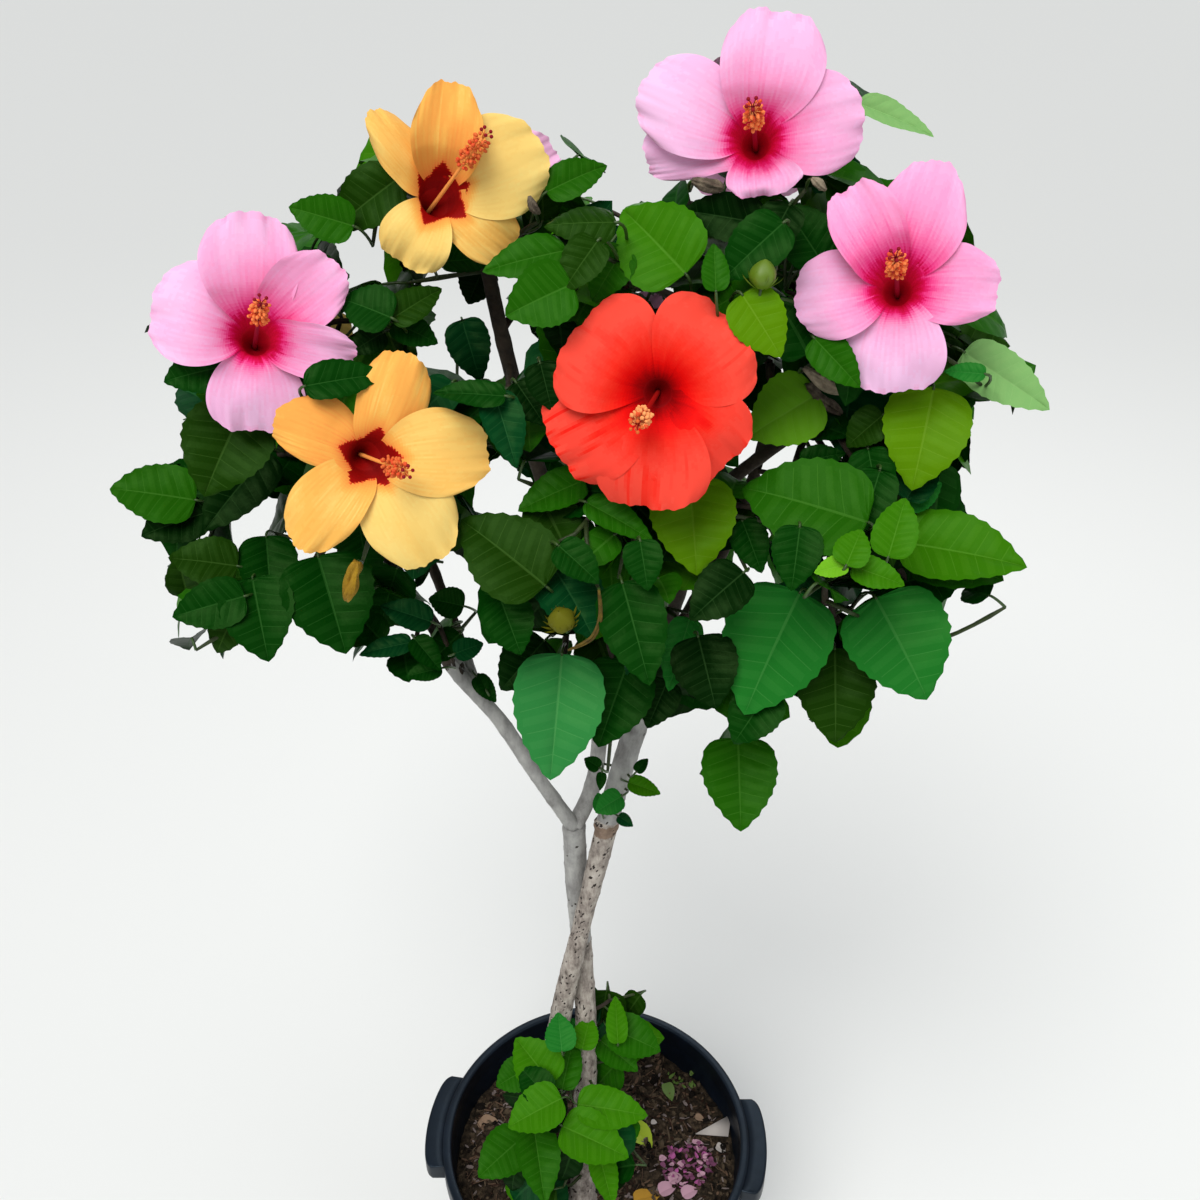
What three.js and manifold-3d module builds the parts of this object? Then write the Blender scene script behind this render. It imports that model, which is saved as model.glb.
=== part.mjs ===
// A flowering hibiscus shrub on two crossed stems, growing in a round plastic pot.
// Millimetres, +Z up. The origin is the centre of the pot's flat underside, and the front is towards -Y.
import * as THREE from "three";
import { mergeVertices } from "three/addons/utils/BufferGeometryUtils.js";
import Module from "manifold-3d";

const wasm = await Module();
wasm.setup();

// Pot: a tapered tub with a thick rolled rim and two grip lugs level with the rim.
const POT_HEIGHT = 250;
const RIM_RADIUS = 150;
const FOOT_RADIUS = 104;
const POT_WALL = 3;
const POT_SIDES = 32;
const RIM_BAND = 22;
const RIM_STEP = 5;
const LUG_REACH = 17;
const LUG_HEIGHT = 19;
const LUG_HALF_ANGLE = THREE.MathUtils.degToRad(19);
const LUG_TURN = THREE.MathUtils.degToRad(-5);

// Compost: its level in the pot, and how uneven its top is away from the stems.
const SOIL_LEVEL = 213;
const SOIL_ROUGHNESS = 4;
const SOIL_WAVE = 0.03;
const SOIL_SEED = 5;
const SOIL_RINGS = [0.75, 0.5, 0.25];
const SOIL_FLAT_RADIUS = 30;

// Clearance between pieces that touch.
const GAP = 0.35;

// Stems and boughs: how deep a bough's end sits in the foliage, how much a limb swells and narrows
// as it grows, as a share of its radius, and the flare at the stems' feet.
const SEAT_DEPTH = 9;
const SWELLING = 0.05;
const FLARE_HEIGHT = 55;
const FLARE_GROWTH = 0.55;
const FLARE_STEEPNESS = 3;
const STEM_SIDES = 9;
const STEM_STEPS = 12;
const BOUGH_SIDES = 5;
const BOUGH_STEPS = 6;

// Foliage: how uneven a mass is, as a share of its radius, the power that makes it fuller at its
// corners than an egg (2 would be an egg), and the mean half width over which it has finer faces.
// Two masses share a boundary where together they reach over more than this share of the way between them.
const UNEVENNESS = 0.13;
const SQUARENESS = 3;
const FINE_MASS_RADIUS = 44.5;
const NEIGHBOUR_SHARE = 0.8;
const FOOT_SEED = 50;

// The route of each limb through the points it passes, and its radius at the start and at the end.
// A stem stands on the compost. The boughs grow from the forks, or from the limb where they start.
const FORK = [-17, 0, 648];
const CROWN_FORK = [46, 10, 800];
const LEFT_FORK = [-84, -15, 787];
const STEMS = {
  stem_left: {
    route: [[-14, -56, 195], [-11, -36, 300], [-8.5, -12, 406], [-11.5, 9, 490], [-15.5, 6, 580], FORK],
    radii: [10.2, 9],
  },
  stem_right: {
    route: [[-57, 11, 195], [-47, 2, 310], [-30, -10, 440], [-16.5, -11, 520], [2, -7, 615],
      [18, 0, 693], [33, 6, 750], CROWN_FORK],
    radii: [10.2, 8.4],
  },
};
const BOUGHS = {
  bough_left: {
    route: [FORK, [-41, -4, 696], [-71, -12, 765], LEFT_FORK, [-104, -20, 822], [-112, -28, 870]],
    radii: [7, 5],
  },
  bough_inner: {
    route: [FORK, [-4, 16, 668], [4, 26, 740], [-12, 32, 850], [-40, 22, 960], [-58, 0, 1060],
      [-70, -15, 1150]],
    radii: [6.5, 4],
  },
  bough_left_upper: {
    route: [LEFT_FORK, [-130, -2, 870], [-165, -10, 960], [-190, -40, 1060]],
    radii: [4.5, 3.5],
  },
  bough_left_back: {
    route: [LEFT_FORK, [-112, 30, 850], [-140, 85, 900], [-150, 110, 940]],
    radii: [4.5, 3.5],
  },
  bough_right: {
    route: [CROWN_FORK, [64, 6, 880], [92, 0, 955], [140, -12, 1003], [165, -40, 1080]],
    radii: [6, 4],
  },
  bough_right_low: {
    route: [CROWN_FORK, [95, -25, 842], [150, -60, 870], [187, -90, 880]],
    radii: [5, 3.5],
  },
  bough_top: {
    route: [CROWN_FORK, [52, 28, 900], [68, 24, 1000], [80, 5, 1090], [87, -30, 1180]],
    radii: [5.5, 3.5],
  },
  bough_centre: {
    route: [CROWN_FORK, [30, -25, 870], [22, -60, 940], [24, -100, 1040]],
    radii: [5, 3.5],
  },
  bough_back: {
    route: [[4, 26, 740], [8, 60, 820], [12, 100, 880], [15, 140, 930]],
    radii: [4.5, 3.5],
  },
  bough_back_right: {
    route: [CROWN_FORK, [95, 55, 870], [125, 95, 940], [130, 130, 1010]],
    radii: [5, 3.5],
  },
};

// Each mass of leaves and flowers: its middle and its half width, half depth and half height.
const FRONT_LEFT = {
  left_tip: [[-281, -25, 950], [36, 36, 22]],
  left_lower: [[-238, -45, 894], [44, 52, 40]],
  left_inner: [[-240, 0, 972], [46, 52, 46]],
  left_bottom: [[-172, -40, 882], [46, 52, 34]],
  left_bough_end: [[-112, -35, 864], [42, 48, 38]],
  left_flower: [[-196, -50, 1066], [58, 52, 62]],
  upper_left_inner: [[-126, -20, 1075], [44, 54, 42]],
  upper_left_tip: [[-145, -20, 1131], [30, 32, 18]],
  upper_left_flower: [[-91, -20, 1149], [42, 50, 55]],
  top_left: [[-36, -10, 1133], [38, 50, 42]],
  centre_left: [[-64, -70, 1040], [46, 56, 42]],
  low_left_flower: [[-118, -100, 1012], [60, 54, 58]],
};
const FRONT_RIGHT = {
  top_middle: [[4, -60, 1108], [50, 60, 42]],
  centre_flower: [[32, -120, 1055], [57, 55, 58]],
  top_right_middle: [[82, -60, 1108], [44, 58, 46]],
  top_flower: [[85, -30, 1180], [60, 60, 50]],
  top_right_tip: [[163, 0, 1180], [33, 32, 14]],
  upper_right_flower: [[167, -60, 1104], [56, 60, 62]],
  right_tip: [[238, -50, 1050], [30, 32, 23]],
  right_middle: [[172, -40, 1008], [56, 60, 40]],
  right_lower: [[132, -100, 965], [54, 60, 42]],
  right_lower_tip: [[220, -80, 947], [46, 42, 24]],
  right_bottom: [[186, -85, 880], [48, 52, 40]],
  right_bottom_tip: [[152, -95, 848], [33, 40, 32]],
};
const FRONT_LOW = {
  bottom_middle: [[10, -105, 955], [52, 60, 46]],
  bottom_middle_left: [[-44, -100, 938], [36, 50, 46]],
  bottom_low: [[8, -85, 875], [48, 52, 38]],
  bottom_leaf: [[-24, -115, 846], [28, 28, 44]],
  bottom_right_middle: [[86, -88, 862], [46, 58, 42]],
  bottom_right_leaf: [[99, -82, 788], [27, 34, 62]],
};
const BACK = {
  back_left: [[-232, 70, 925], [50, 60, 48]],
  back_left_low: [[-150, 105, 890], [56, 60, 44]],
  back_left_upper: [[-190, 75, 1030], [58, 62, 55]],
  back_top_left: [[-105, 75, 1100], [55, 60, 55]],
  back_centre_left: [[-80, 165, 955], [56, 60, 48]],
  back_top: [[0, 75, 1078], [58, 62, 44]],
  back_centre: [[28, 165, 1020], [62, 62, 58]],
  back_low: [[20, 140, 900], [64, 62, 46]],
  back_top_right: [[105, 75, 1135], [62, 62, 55]],
  back_upper_right: [[195, 65, 1060], [56, 62, 55]],
  back_right: [[130, 155, 1020], [58, 62, 55]],
  back_right_low: [[205, 80, 955], [60, 68, 56]],
  back_right_bottom: [[120, 95, 870], [54, 58, 34]],
};
const FOOT = {
  foot_shoots_front: [[-22, -58, 320], [64, 38, 98]],
  foot_shoots_right: [[20, 8, 388], [42, 32, 50]],
};
// Daylight shows straight through the crown along these lines, each from x and z at its front
// to x and z at its back, and as wide as the last number.
const DAYLIGHT_FRONT_Y = -100;
const DAYLIGHT_BACK_Y = 150;
const DAYLIGHT = [
  { front: [-116, 1134], back: [-166, 1070], radius: 13 },
  { front: [-72, 1108], back: [-104, 1034], radius: 17 },
  { front: [-54, 1088], back: [-80, 1005], radius: 22 },
  { front: [-197, 979], back: [-281, 851], radius: 15 },
  { front: [-55, 999], back: [-79, 878], radius: 20 },
  { front: [-88, 934], back: [-126, 786], radius: 13 },
  { front: [103, 1011], back: [144, 896], radius: 12 },
  { front: [92, 941], back: [129, 796], radius: 14 },
  { front: [75, 899], back: [105, 737], radius: 11 },
];

const MATERIALS = {
  pot: new THREE.MeshStandardMaterial({ color: 0x22242a, roughness: 0.5, metalness: 0 }),
  soil: new THREE.MeshStandardMaterial({ color: 0x35261d, roughness: 1, metalness: 0 }),
  bark: new THREE.MeshStandardMaterial({ color: 0x9a8e80, roughness: 0.9, metalness: 0 }),
  leaf: new THREE.MeshStandardMaterial({ color: 0x2c6a2a, roughness: 0.5, metalness: 0 }),
  pink: new THREE.MeshStandardMaterial({ color: 0xf39cc9, roughness: 0.6, metalness: 0 }),
  yellow: new THREE.MeshStandardMaterial({ color: 0xf7bd55, roughness: 0.6, metalness: 0 }),
  red: new THREE.MeshStandardMaterial({ color: 0xf14533, roughness: 0.6, metalness: 0 }),
};
const FLOWER_COLOURS = {
  left_flower: "pink",
  upper_left_flower: "yellow",
  low_left_flower: "yellow",
  centre_flower: "red",
  top_flower: "pink",
  upper_right_flower: "pink",
};

const shrub = new THREE.Group();

function toSolid(geometry) {
  const bare = geometry.clone();
  bare.deleteAttribute("normal");
  bare.deleteAttribute("uv");
  const merged = mergeVertices(bare, 1e-4);
  const mesh = new wasm.Mesh({
    numProp: 3,
    vertProperties: merged.attributes.position.array,
    triVerts: new Uint32Array(merged.index.array),
  });
  return new wasm.Manifold(mesh);
}

function toGeometry(solid) {
  const mesh = solid.getMesh();
  const geometry = new THREE.BufferGeometry();
  geometry.setAttribute("position", new THREE.BufferAttribute(mesh.vertProperties, 3));
  geometry.setIndex(new THREE.BufferAttribute(mesh.triVerts, 1));
  geometry.computeVertexNormals();
  return geometry;
}

// Cutting two limbs apart where they leave a fork can leave chips and slivers, which are dropped.
function largestBody(solid) {
  const sliver = 0.12;
  const bodies = solid.simplify(sliver).decompose();
  return bodies.reduce((best, body) => (body.volume() > best.volume() ? body : best));
}

function addNode(name, geometry, material) {
  const mesh = new THREE.Mesh(geometry, material);
  mesh.name = name;
  shrub.add(mesh);
}

// A smooth uneven value between -1 and 1, different for each seed, for a direction or a place.
function unevenness(v, seed) {
  const a = Math.sin(2.3 * v.x + 1.7 * v.y + seed * 1.31);
  const b = Math.sin(2.9 * v.y - 2.1 * v.z + seed * 2.17);
  const c = Math.sin(3.7 * v.z + 3.1 * v.x + seed * 0.73);
  const d = Math.sin(5.3 * v.x - 4.7 * v.y + 4.1 * v.z + seed * 3.61);
  return (a + b + c + d) / 4;
}

// Radius of the pot's wall, outside, at a height under the rim's band.
function potRadius(z) {
  const top = POT_HEIGHT - RIM_BAND;
  return FOOT_RADIUS + ((RIM_RADIUS - RIM_STEP - FOOT_RADIUS) * z) / top;
}

// Points along an arc about the origin, from one angle to another.
function arc(radius, from, to, steps = 6) {
  const points = [];
  for (let i = 0; i <= steps; i++) {
    const angle = THREE.MathUtils.lerp(from, to, steps ? i / steps : 0);
    points.push(new THREE.Vector2(radius * Math.cos(angle), radius * Math.sin(angle)));
  }
  return points;
}

function makePot() {
  const band = POT_HEIGHT - RIM_BAND;
  const edge = 3;
  const profile = [
    [0, 0],
    [FOOT_RADIUS - edge, 0],
    [FOOT_RADIUS, edge],
    [potRadius(band), band],
    [RIM_RADIUS, band + edge],
    [RIM_RADIUS, POT_HEIGHT - edge],
    [RIM_RADIUS - edge, POT_HEIGHT],
    [potRadius(band) - POT_WALL, POT_HEIGHT - edge],
    [potRadius(band) - POT_WALL, band],
    [potRadius(POT_WALL) - POT_WALL, POT_WALL],
    [0, POT_WALL],
  ].map(([r, z]) => new THREE.Vector2(r, z));
  const tub = new THREE.LatheGeometry(profile, POT_SIDES).rotateX(Math.PI / 2);
  let pot = toSolid(tub);
  for (const side of [0, Math.PI]) {
    const inner = RIM_RADIUS - RIM_STEP;
    const outer = RIM_RADIUS + LUG_REACH;
    const corner = 5;
    const outline = new THREE.Shape([
      ...arc(inner, LUG_HALF_ANGLE, -LUG_HALF_ANGLE),
      ...arc(outer - corner, -LUG_HALF_ANGLE, -LUG_HALF_ANGLE, 0),
      ...arc(outer, -LUG_HALF_ANGLE + corner / outer, LUG_HALF_ANGLE - corner / outer),
      ...arc(outer - corner, LUG_HALF_ANGLE, LUG_HALF_ANGLE, 0),
    ]);
    const bevel = 2;
    const lug = new THREE.ExtrudeGeometry(outline, {
      depth: LUG_HEIGHT - 2 * bevel,
      bevelThickness: bevel,
      bevelSize: bevel,
      bevelOffset: -bevel,
      bevelSegments: 1,
    });
    lug.rotateZ(side + LUG_TURN).translate(0, 0, POT_HEIGHT - LUG_HEIGHT + bevel - 1);
    pot = pot.add(toSolid(lug));
  }
  return pot;
}

function makeSoil() {
  const inner = (z) => potRadius(z) - POT_WALL - GAP;
  const floor = POT_WALL + GAP;
  const top = inner(SOIL_LEVEL);
  const profile = [
    [0, floor],
    [inner(floor), floor],
    [top, SOIL_LEVEL],
    ...SOIL_RINGS.map((share) => [top * share, SOIL_LEVEL]),
    [0, SOIL_LEVEL],
  ].map(([r, z]) => new THREE.Vector2(r, z));
  const soil = new THREE.LatheGeometry(profile, POT_SIDES).rotateX(Math.PI / 2);
  const feet = Object.values(STEMS).map((stem) => stem.route[0]);
  const places = soil.attributes.position;
  const place = new THREE.Vector3();
  for (let i = 0; i < places.count; i++) {
    place.fromBufferAttribute(places, i);
    const onWall = place.z < SOIL_LEVEL - 1 || Math.hypot(place.x, place.y) > top - 1;
    const nearFoot = feet.some((f) => Math.hypot(place.x - f[0], place.y - f[1]) < SOIL_FLAT_RADIUS);
    if (onWall || nearFoot) continue;
    const rise = SOIL_ROUGHNESS * unevenness(place.clone().multiplyScalar(SOIL_WAVE), SOIL_SEED);
    places.setZ(i, SOIL_LEVEL + Math.min(rise, 0));
  }
  return toSolid(soil);
}

// A mass is star shaped: how far it reaches from its middle in each direction is worked out here.
// It is an uneven, rounded block, held back by the flat boundary with each neighbour and by the daylight.
class Mass {
  constructor(name, [centre, radii], seed) {
    this.name = name;
    this.centre = new THREE.Vector3(...centre);
    this.radii = new THREE.Vector3(...radii);
    this.seed = seed;
    this.walls = [];
  }

  fullReach(direction) {
    const share = direction.clone().divide(this.radii);
    const sum = share.toArray().reduce((total, s) => total + Math.abs(s) ** SQUARENESS, 0);
    return sum ** (-1 / SQUARENESS);
  }

  meet(other) {
    const towards = other.centre.clone().sub(this.centre);
    const distance = towards.length();
    towards.normalize();
    const mine = this.fullReach(towards);
    const theirs = other.fullReach(towards);
    if (mine + theirs < NEIGHBOUR_SHARE * distance) return;
    const boundary = (distance * mine) / (mine + theirs);
    this.walls.push({ normal: towards, distance: boundary - GAP / 2 });
    other.walls.push({ normal: towards.clone().negate(), distance: distance - boundary - GAP / 2 });
  }

  daylightReach(direction, line) {
    const start = new THREE.Vector3(line.front[0], DAYLIGHT_FRONT_Y, line.front[1]);
    const end = new THREE.Vector3(line.back[0], DAYLIGHT_BACK_Y, line.back[1]);
    const axis = end.sub(start).normalize();
    const offset = this.centre.clone().sub(start);
    offset.addScaledVector(axis, -offset.dot(axis));
    const across = direction.clone().addScaledVector(axis, -direction.dot(axis));
    const a = across.lengthSq();
    const b = offset.dot(across);
    const c = offset.lengthSq() - line.radius ** 2;
    const root = b * b - a * c;
    return root > 0 && b < 0 ? (-b - Math.sqrt(root)) / a : Infinity;
  }

  reach(direction) {
    let reach = this.fullReach(direction) * (1 + UNEVENNESS * unevenness(direction, this.seed));
    for (const wall of this.walls) {
      const cosine = direction.dot(wall.normal);
      if (cosine > 0) reach = Math.min(reach, wall.distance / cosine);
    }
    for (const line of DAYLIGHT) reach = Math.min(reach, this.daylightReach(direction, line));
    return reach;
  }

  holds(point) {
    const offset = point.clone().sub(this.centre);
    const distance = offset.length();
    return distance < this.reach(offset.normalize());
  }

  solid() {
    const { x, y, z } = this.radii;
    const detail = (x + y + z) / 3 > FINE_MASS_RADIUS ? 2 : 1;
    const geometry = new THREE.IcosahedronGeometry(1, detail);
    const places = geometry.attributes.position;
    const direction = new THREE.Vector3();
    for (let i = 0; i < places.count; i++) {
      direction.fromBufferAttribute(places, i).normalize();
      const reach = this.reach(direction);
      direction.multiplyScalar(reach).add(this.centre);
      places.setXYZ(i, direction.x, direction.y, direction.z);
    }
    return toSolid(geometry);
  }
}

// A limb is a tapering tube along a smooth route, with the slight swellings of grown wood.
function limbSolid(curve, radii, { sides, steps, seed, extra = 0, flare = false }) {
  const frames = curve.computeFrenetFrames(steps, false);
  const places = [];
  for (let i = 0; i <= steps; i++) {
    const along = i / steps;
    const middle = curve.getPointAt(along);
    if (i === 0) middle.addScaledVector(frames.tangents[i], -extra);
    if (i === steps) middle.addScaledVector(frames.tangents[i], extra);
    const height = Math.max(middle.z - SOIL_LEVEL, 0);
    const growth = flare ? 1 + FLARE_GROWTH * Math.exp((-FLARE_STEEPNESS * height) / FLARE_HEIGHT) : 1;
    const taper = THREE.MathUtils.lerp(radii[0], radii[1], along) * growth;
    for (let j = 0; j < sides; j++) {
      const turn = (2 * Math.PI * j) / sides;
      const swelling = 1 + SWELLING * Math.sin(2 * turn + 7 * along + seed);
      const radius = taper * swelling + extra;
      const place = middle.clone();
      place.addScaledVector(frames.normals[i], radius * Math.cos(turn));
      place.addScaledVector(frames.binormals[i], radius * Math.sin(turn));
      places.push(place);
    }
  }
  const first = places.push(curve.getPointAt(0).addScaledVector(frames.tangents[0], -extra)) - 1;
  const last = places.push(curve.getPointAt(1).addScaledVector(frames.tangents[steps], extra)) - 1;
  const index = [];
  for (let j = 0; j < sides; j++) {
    const next = (j + 1) % sides;
    for (let i = 0; i < steps; i++) {
      const [a, b] = [i * sides + j, i * sides + next];
      index.push(a, b, b + sides, a, b + sides, a + sides);
    }
    index.push(first, next, j);
    index.push(last, steps * sides + j, steps * sides + next);
  }
  const geometry = new THREE.BufferGeometry().setFromPoints(places);
  geometry.setIndex(index);
  return toSolid(geometry);
}

function routeCurve(route) {
  return new THREE.CatmullRomCurve3(route.map((p) => new THREE.Vector3(...p)), false, "centripetal");
}

// The part of a route up to a little way past the point where it first enters a mass.
function routeIntoFoliage(curve, masses) {
  const samples = 400;
  const total = curve.getLength();
  for (let i = 0; i <= samples; i++) {
    const point = curve.getPointAt(i / samples);
    if (masses.some((mass) => mass.holds(point))) {
      const end = Math.min(1, i / samples + SEAT_DEPTH / total);
      const points = [];
      for (let j = 0; j <= BOUGH_STEPS; j++) points.push(curve.getPointAt((j / BOUGH_STEPS) * end));
      return new THREE.CatmullRomCurve3(points);
    }
  }
  throw new Error("a bough does not reach the foliage");
}

const crownMasses = Object.entries({ ...FRONT_LEFT, ...FRONT_RIGHT, ...FRONT_LOW, ...BACK })
  .map(([name, shape], i) => new Mass(name, shape, i + 1));
const footMasses = Object.entries(FOOT).map(([name, shape], i) => new Mass(name, shape, i + FOOT_SEED));
const masses = [...crownMasses, ...footMasses];
masses.forEach((mass, i) => masses.slice(i + 1).forEach((other) => mass.meet(other)));

// Limbs, each with a copy fattened by the clearance that cuts its neighbours.
const limbs = {};
Object.entries(STEMS).forEach(([name, stem], seed) => {
  const shape = { sides: STEM_SIDES, steps: STEM_STEPS, seed, flare: true };
  const curve = routeCurve(stem.route);
  const cutAtGround = (solid) => solid.trimByPlane([0, 0, 1], SOIL_LEVEL + GAP);
  limbs[name] = {
    solid: cutAtGround(limbSolid(curve, stem.radii, shape)),
    cutter: limbSolid(curve, stem.radii, { ...shape, extra: GAP }),
  };
});
limbs.stem_right.solid = limbs.stem_right.solid.subtract(limbs.stem_left.cutter);
Object.entries(BOUGHS).forEach(([name, bough], seed) => {
  const shape = { sides: BOUGH_SIDES, steps: BOUGH_STEPS, seed };
  const curve = routeIntoFoliage(routeCurve(bough.route), crownMasses);
  let solid = limbSolid(curve, bough.radii, shape);
  for (const earlier of Object.values(limbs)) solid = solid.subtract(earlier.cutter);
  solid = largestBody(solid);
  const cutter = limbSolid(curve, bough.radii, { ...shape, extra: GAP });
  limbs[name] = { solid, cutter };
});

addNode("pot", toGeometry(makePot()), MATERIALS.pot);
addNode("soil", toGeometry(makeSoil()), MATERIALS.soil);
for (const [name, limb] of Object.entries(limbs)) {
  addNode(name, toGeometry(limb.solid), MATERIALS.bark);
}
for (const mass of masses) {
  let solid = mass.solid();
  for (const limb of Object.values(limbs)) solid = solid.subtract(limb.cutter);
  solid = largestBody(solid);
  addNode("foliage_" + mass.name, toGeometry(solid), MATERIALS[FLOWER_COLOURS[mass.name] ?? "leaf"]);
}

export default shrub;
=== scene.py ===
import math

import bpy
import numpy as np
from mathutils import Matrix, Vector
from mathutils.bvhtree import BVHTree


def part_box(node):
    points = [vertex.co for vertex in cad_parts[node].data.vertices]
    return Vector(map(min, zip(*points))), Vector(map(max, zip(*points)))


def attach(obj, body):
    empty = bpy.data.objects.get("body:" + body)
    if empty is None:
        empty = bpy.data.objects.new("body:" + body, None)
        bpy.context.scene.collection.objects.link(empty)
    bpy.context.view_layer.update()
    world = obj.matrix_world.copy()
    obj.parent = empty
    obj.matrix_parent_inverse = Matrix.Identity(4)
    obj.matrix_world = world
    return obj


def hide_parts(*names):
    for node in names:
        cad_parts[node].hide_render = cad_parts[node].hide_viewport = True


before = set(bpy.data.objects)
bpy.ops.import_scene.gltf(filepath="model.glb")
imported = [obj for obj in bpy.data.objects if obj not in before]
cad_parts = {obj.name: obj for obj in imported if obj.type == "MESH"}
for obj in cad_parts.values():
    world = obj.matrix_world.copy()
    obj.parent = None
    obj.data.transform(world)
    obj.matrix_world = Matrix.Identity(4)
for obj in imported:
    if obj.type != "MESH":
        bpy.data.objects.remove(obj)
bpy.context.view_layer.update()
rng = np.random.default_rng(11)

# The photograph's camera, in metres.
IMAGE_SIDE = 1200
LENS = 34.65
SENSOR = 36.0
CAMERA = np.array([0.004, -0.6966, 1.2859])
PITCH = math.radians(31.4)
FOCAL = LENS / SENSOR * IMAGE_SIDE
SIDE = np.array([1.0, 0.0, 0.0])
AHEAD = np.array([0.0, math.cos(PITCH), -math.sin(PITCH)])
ABOVE = np.array([0.0, math.sin(PITCH), math.cos(PITCH)])
UP = np.array([0.0, 0.0, 1.0])

# Pot and soil.
POT_HEIGHT = 0.250
RIM_RADIUS = 0.150
RIM_STEP = 0.005
RIM_BAND = 0.022
FOOT_RADIUS = 0.104
POT_WALL = 0.003
SOIL_LEVEL = 0.213
LUG_REACH = 0.017
LUG_HEIGHT = 0.019
LUG_HALF_ANGLE = math.radians(19)
LUG_TURN = math.radians(-5)

# Limbs: the line each one follows, and its radius at both ends.
FORK = (-0.017, 0, 0.648)
CROWN_FORK = (0.046, 0.010, 0.800)
LEFT_FORK = (-0.084, -0.015, 0.787)
INNER_FORK = (0.004, 0.026, 0.740)
STEMS = {
    "stem_left": (
        [(-0.014, -0.056, 0.195), (-0.011, -0.036, 0.300), (-0.0085, -0.012, 0.406), (-0.0115, 0.009, 0.490),
         (-0.0155, 0.006, 0.580), FORK],
        (0.0102, 0.009)),
    "stem_right": (
        [(-0.057, 0.011, 0.195), (-0.047, 0.002, 0.310), (-0.030, -0.010, 0.440), (-0.0165, -0.011, 0.520),
         (0.002, -0.007, 0.615), (0.018, 0, 0.693), (0.033, 0.006, 0.750), CROWN_FORK],
        (0.0102, 0.0084)),
}
BOUGHS = {
    "bough_left": (
        [FORK, (-0.041, -0.004, 0.696), (-0.071, -0.012, 0.765), LEFT_FORK, (-0.104, -0.020, 0.822),
         (-0.112, -0.028, 0.870)],
        (0.0062, 0.0045)),
    "bough_inner": (
        [FORK, (-0.004, 0.016, 0.668), INNER_FORK, (-0.012, 0.032, 0.850), (-0.040, 0.022, 0.960),
         (-0.058, 0, 1.060), (-0.070, -0.015, 1.150)],
        (0.0065, 0.004)),
    "bough_left_upper": (
        [LEFT_FORK, (-0.130, -0.002, 0.870), (-0.165, -0.010, 0.960), (-0.190, -0.040, 1.060)],
        (0.0045, 0.0035)),
    "bough_left_back": (
        [LEFT_FORK, (-0.112, 0.030, 0.850), (-0.140, 0.085, 0.900), (-0.150, 0.110, 0.940)],
        (0.0045, 0.0035)),
    "bough_right": (
        [CROWN_FORK, (0.064, 0.006, 0.880), (0.092, 0, 0.955), (0.140, -0.012, 1.003),
         (0.165, -0.040, 1.080)],
        (0.006, 0.004)),
    "bough_right_low": (
        [CROWN_FORK, (0.095, -0.025, 0.842), (0.150, -0.060, 0.870), (0.187, -0.090, 0.880)],
        (0.005, 0.0035)),
    "bough_top": (
        [CROWN_FORK, (0.052, 0.028, 0.900), (0.068, 0.024, 1.000), (0.080, 0.005, 1.090),
         (0.087, -0.030, 1.180)],
        (0.0055, 0.0035)),
    "bough_centre": (
        [CROWN_FORK, (0.030, -0.025, 0.870), (0.022, -0.060, 0.940), (0.024, -0.100, 1.040)],
        (0.005, 0.0035)),
    "bough_back": (
        [INNER_FORK, (0.008, 0.060, 0.820), (0.012, 0.100, 0.880), (0.015, 0.140, 0.930)],
        (0.0045, 0.0035)),
    "bough_back_right": (
        [CROWN_FORK, (0.095, 0.055, 0.870), (0.125, 0.095, 0.940), (0.130, 0.130, 1.010)],
        (0.005, 0.0035)),
}

# Sky that shows through the crown: each opening's (x, z) at the front and at the back, and its radius.
DAYLIGHT_FRONT = -0.100
DAYLIGHT_BACK = 0.150
DAYLIGHT = [
    ((-0.116, 1.134), (-0.166, 1.070), 0.013),
    ((-0.072, 1.108), (-0.104, 1.034), 0.017),
    ((-0.054, 1.088), (-0.080, 1.005), 0.018),
    ((-0.197, 0.979), (-0.281, 0.851), 0.015),
    ((-0.055, 0.999), (-0.079, 0.878), 0.017),
    ((-0.088, 0.934), (-0.126, 0.786), 0.013),
    ((0.103, 1.011), (0.144, 0.896), 0.012),
    ((0.092, 0.941), (0.129, 0.796), 0.014),
    ((0.075, 0.899), (0.105, 0.737), 0.011),
]

# Colours of the leaves' blades, and the tint that the veins take a share of; the crests between the veins
# take a smaller share, a painted highlight.
GREENS = {
    # deep is a near-black green: painted shade for leaves that lie in shade inside the crown.
    "deep": "#031d03",
    "dark": "#053405",
    "olive": "#163404",
    "mid": "#1d5405",
    "bright": "#336e06",
    "lime": "#527e06",
    # Teal, jade and mint are the leaves' green with a blue tinge that is painted sheen, the sky's reflection
    # on glossy leaves.
    "teal": "#053818",
    "jade": "#1c6a22",
    "mint": "#2c7a3a",
    "fresh": "#6aaa20",
    "pale": "#7aaa64",
}
SHADES = list(GREENS)
LEAF_TINT = "#9fbd7c"
VEIN_SHARE = 0.15
LEAF_GLOSS = (0.5, 1.0, 0.3)
HIGHLIGHT_SHARE = 0.045


def linear(text):
    """An sRGB hex colour as linear RGBA."""
    parts = [int(text[i:i + 2], 16) / 255 for i in (1, 3, 5)]
    return [c / 12.92 if c <= 0.04045 else ((c + 0.055) / 1.055) ** 2.4 for c in parts] + [1.0]


def unit(v):
    v = np.asarray(v, float)
    return v / max(np.linalg.norm(v), 1e-9)


def smooth(x, low, high):
    x = np.clip((x - low) / (high - low), 0, 1)
    return x * x * (3 - 2 * x)


def turns(count):
    """Even angles of so many points round a ring."""
    return np.arange(count) * 2 * math.pi / count


def sight(px, py):
    """Direction from the camera through a pixel of the photograph."""
    return AHEAD + SIDE * (px - IMAGE_SIDE / 2) / FOCAL + ABOVE * (IMAGE_SIDE / 2 - py) / FOCAL


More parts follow.
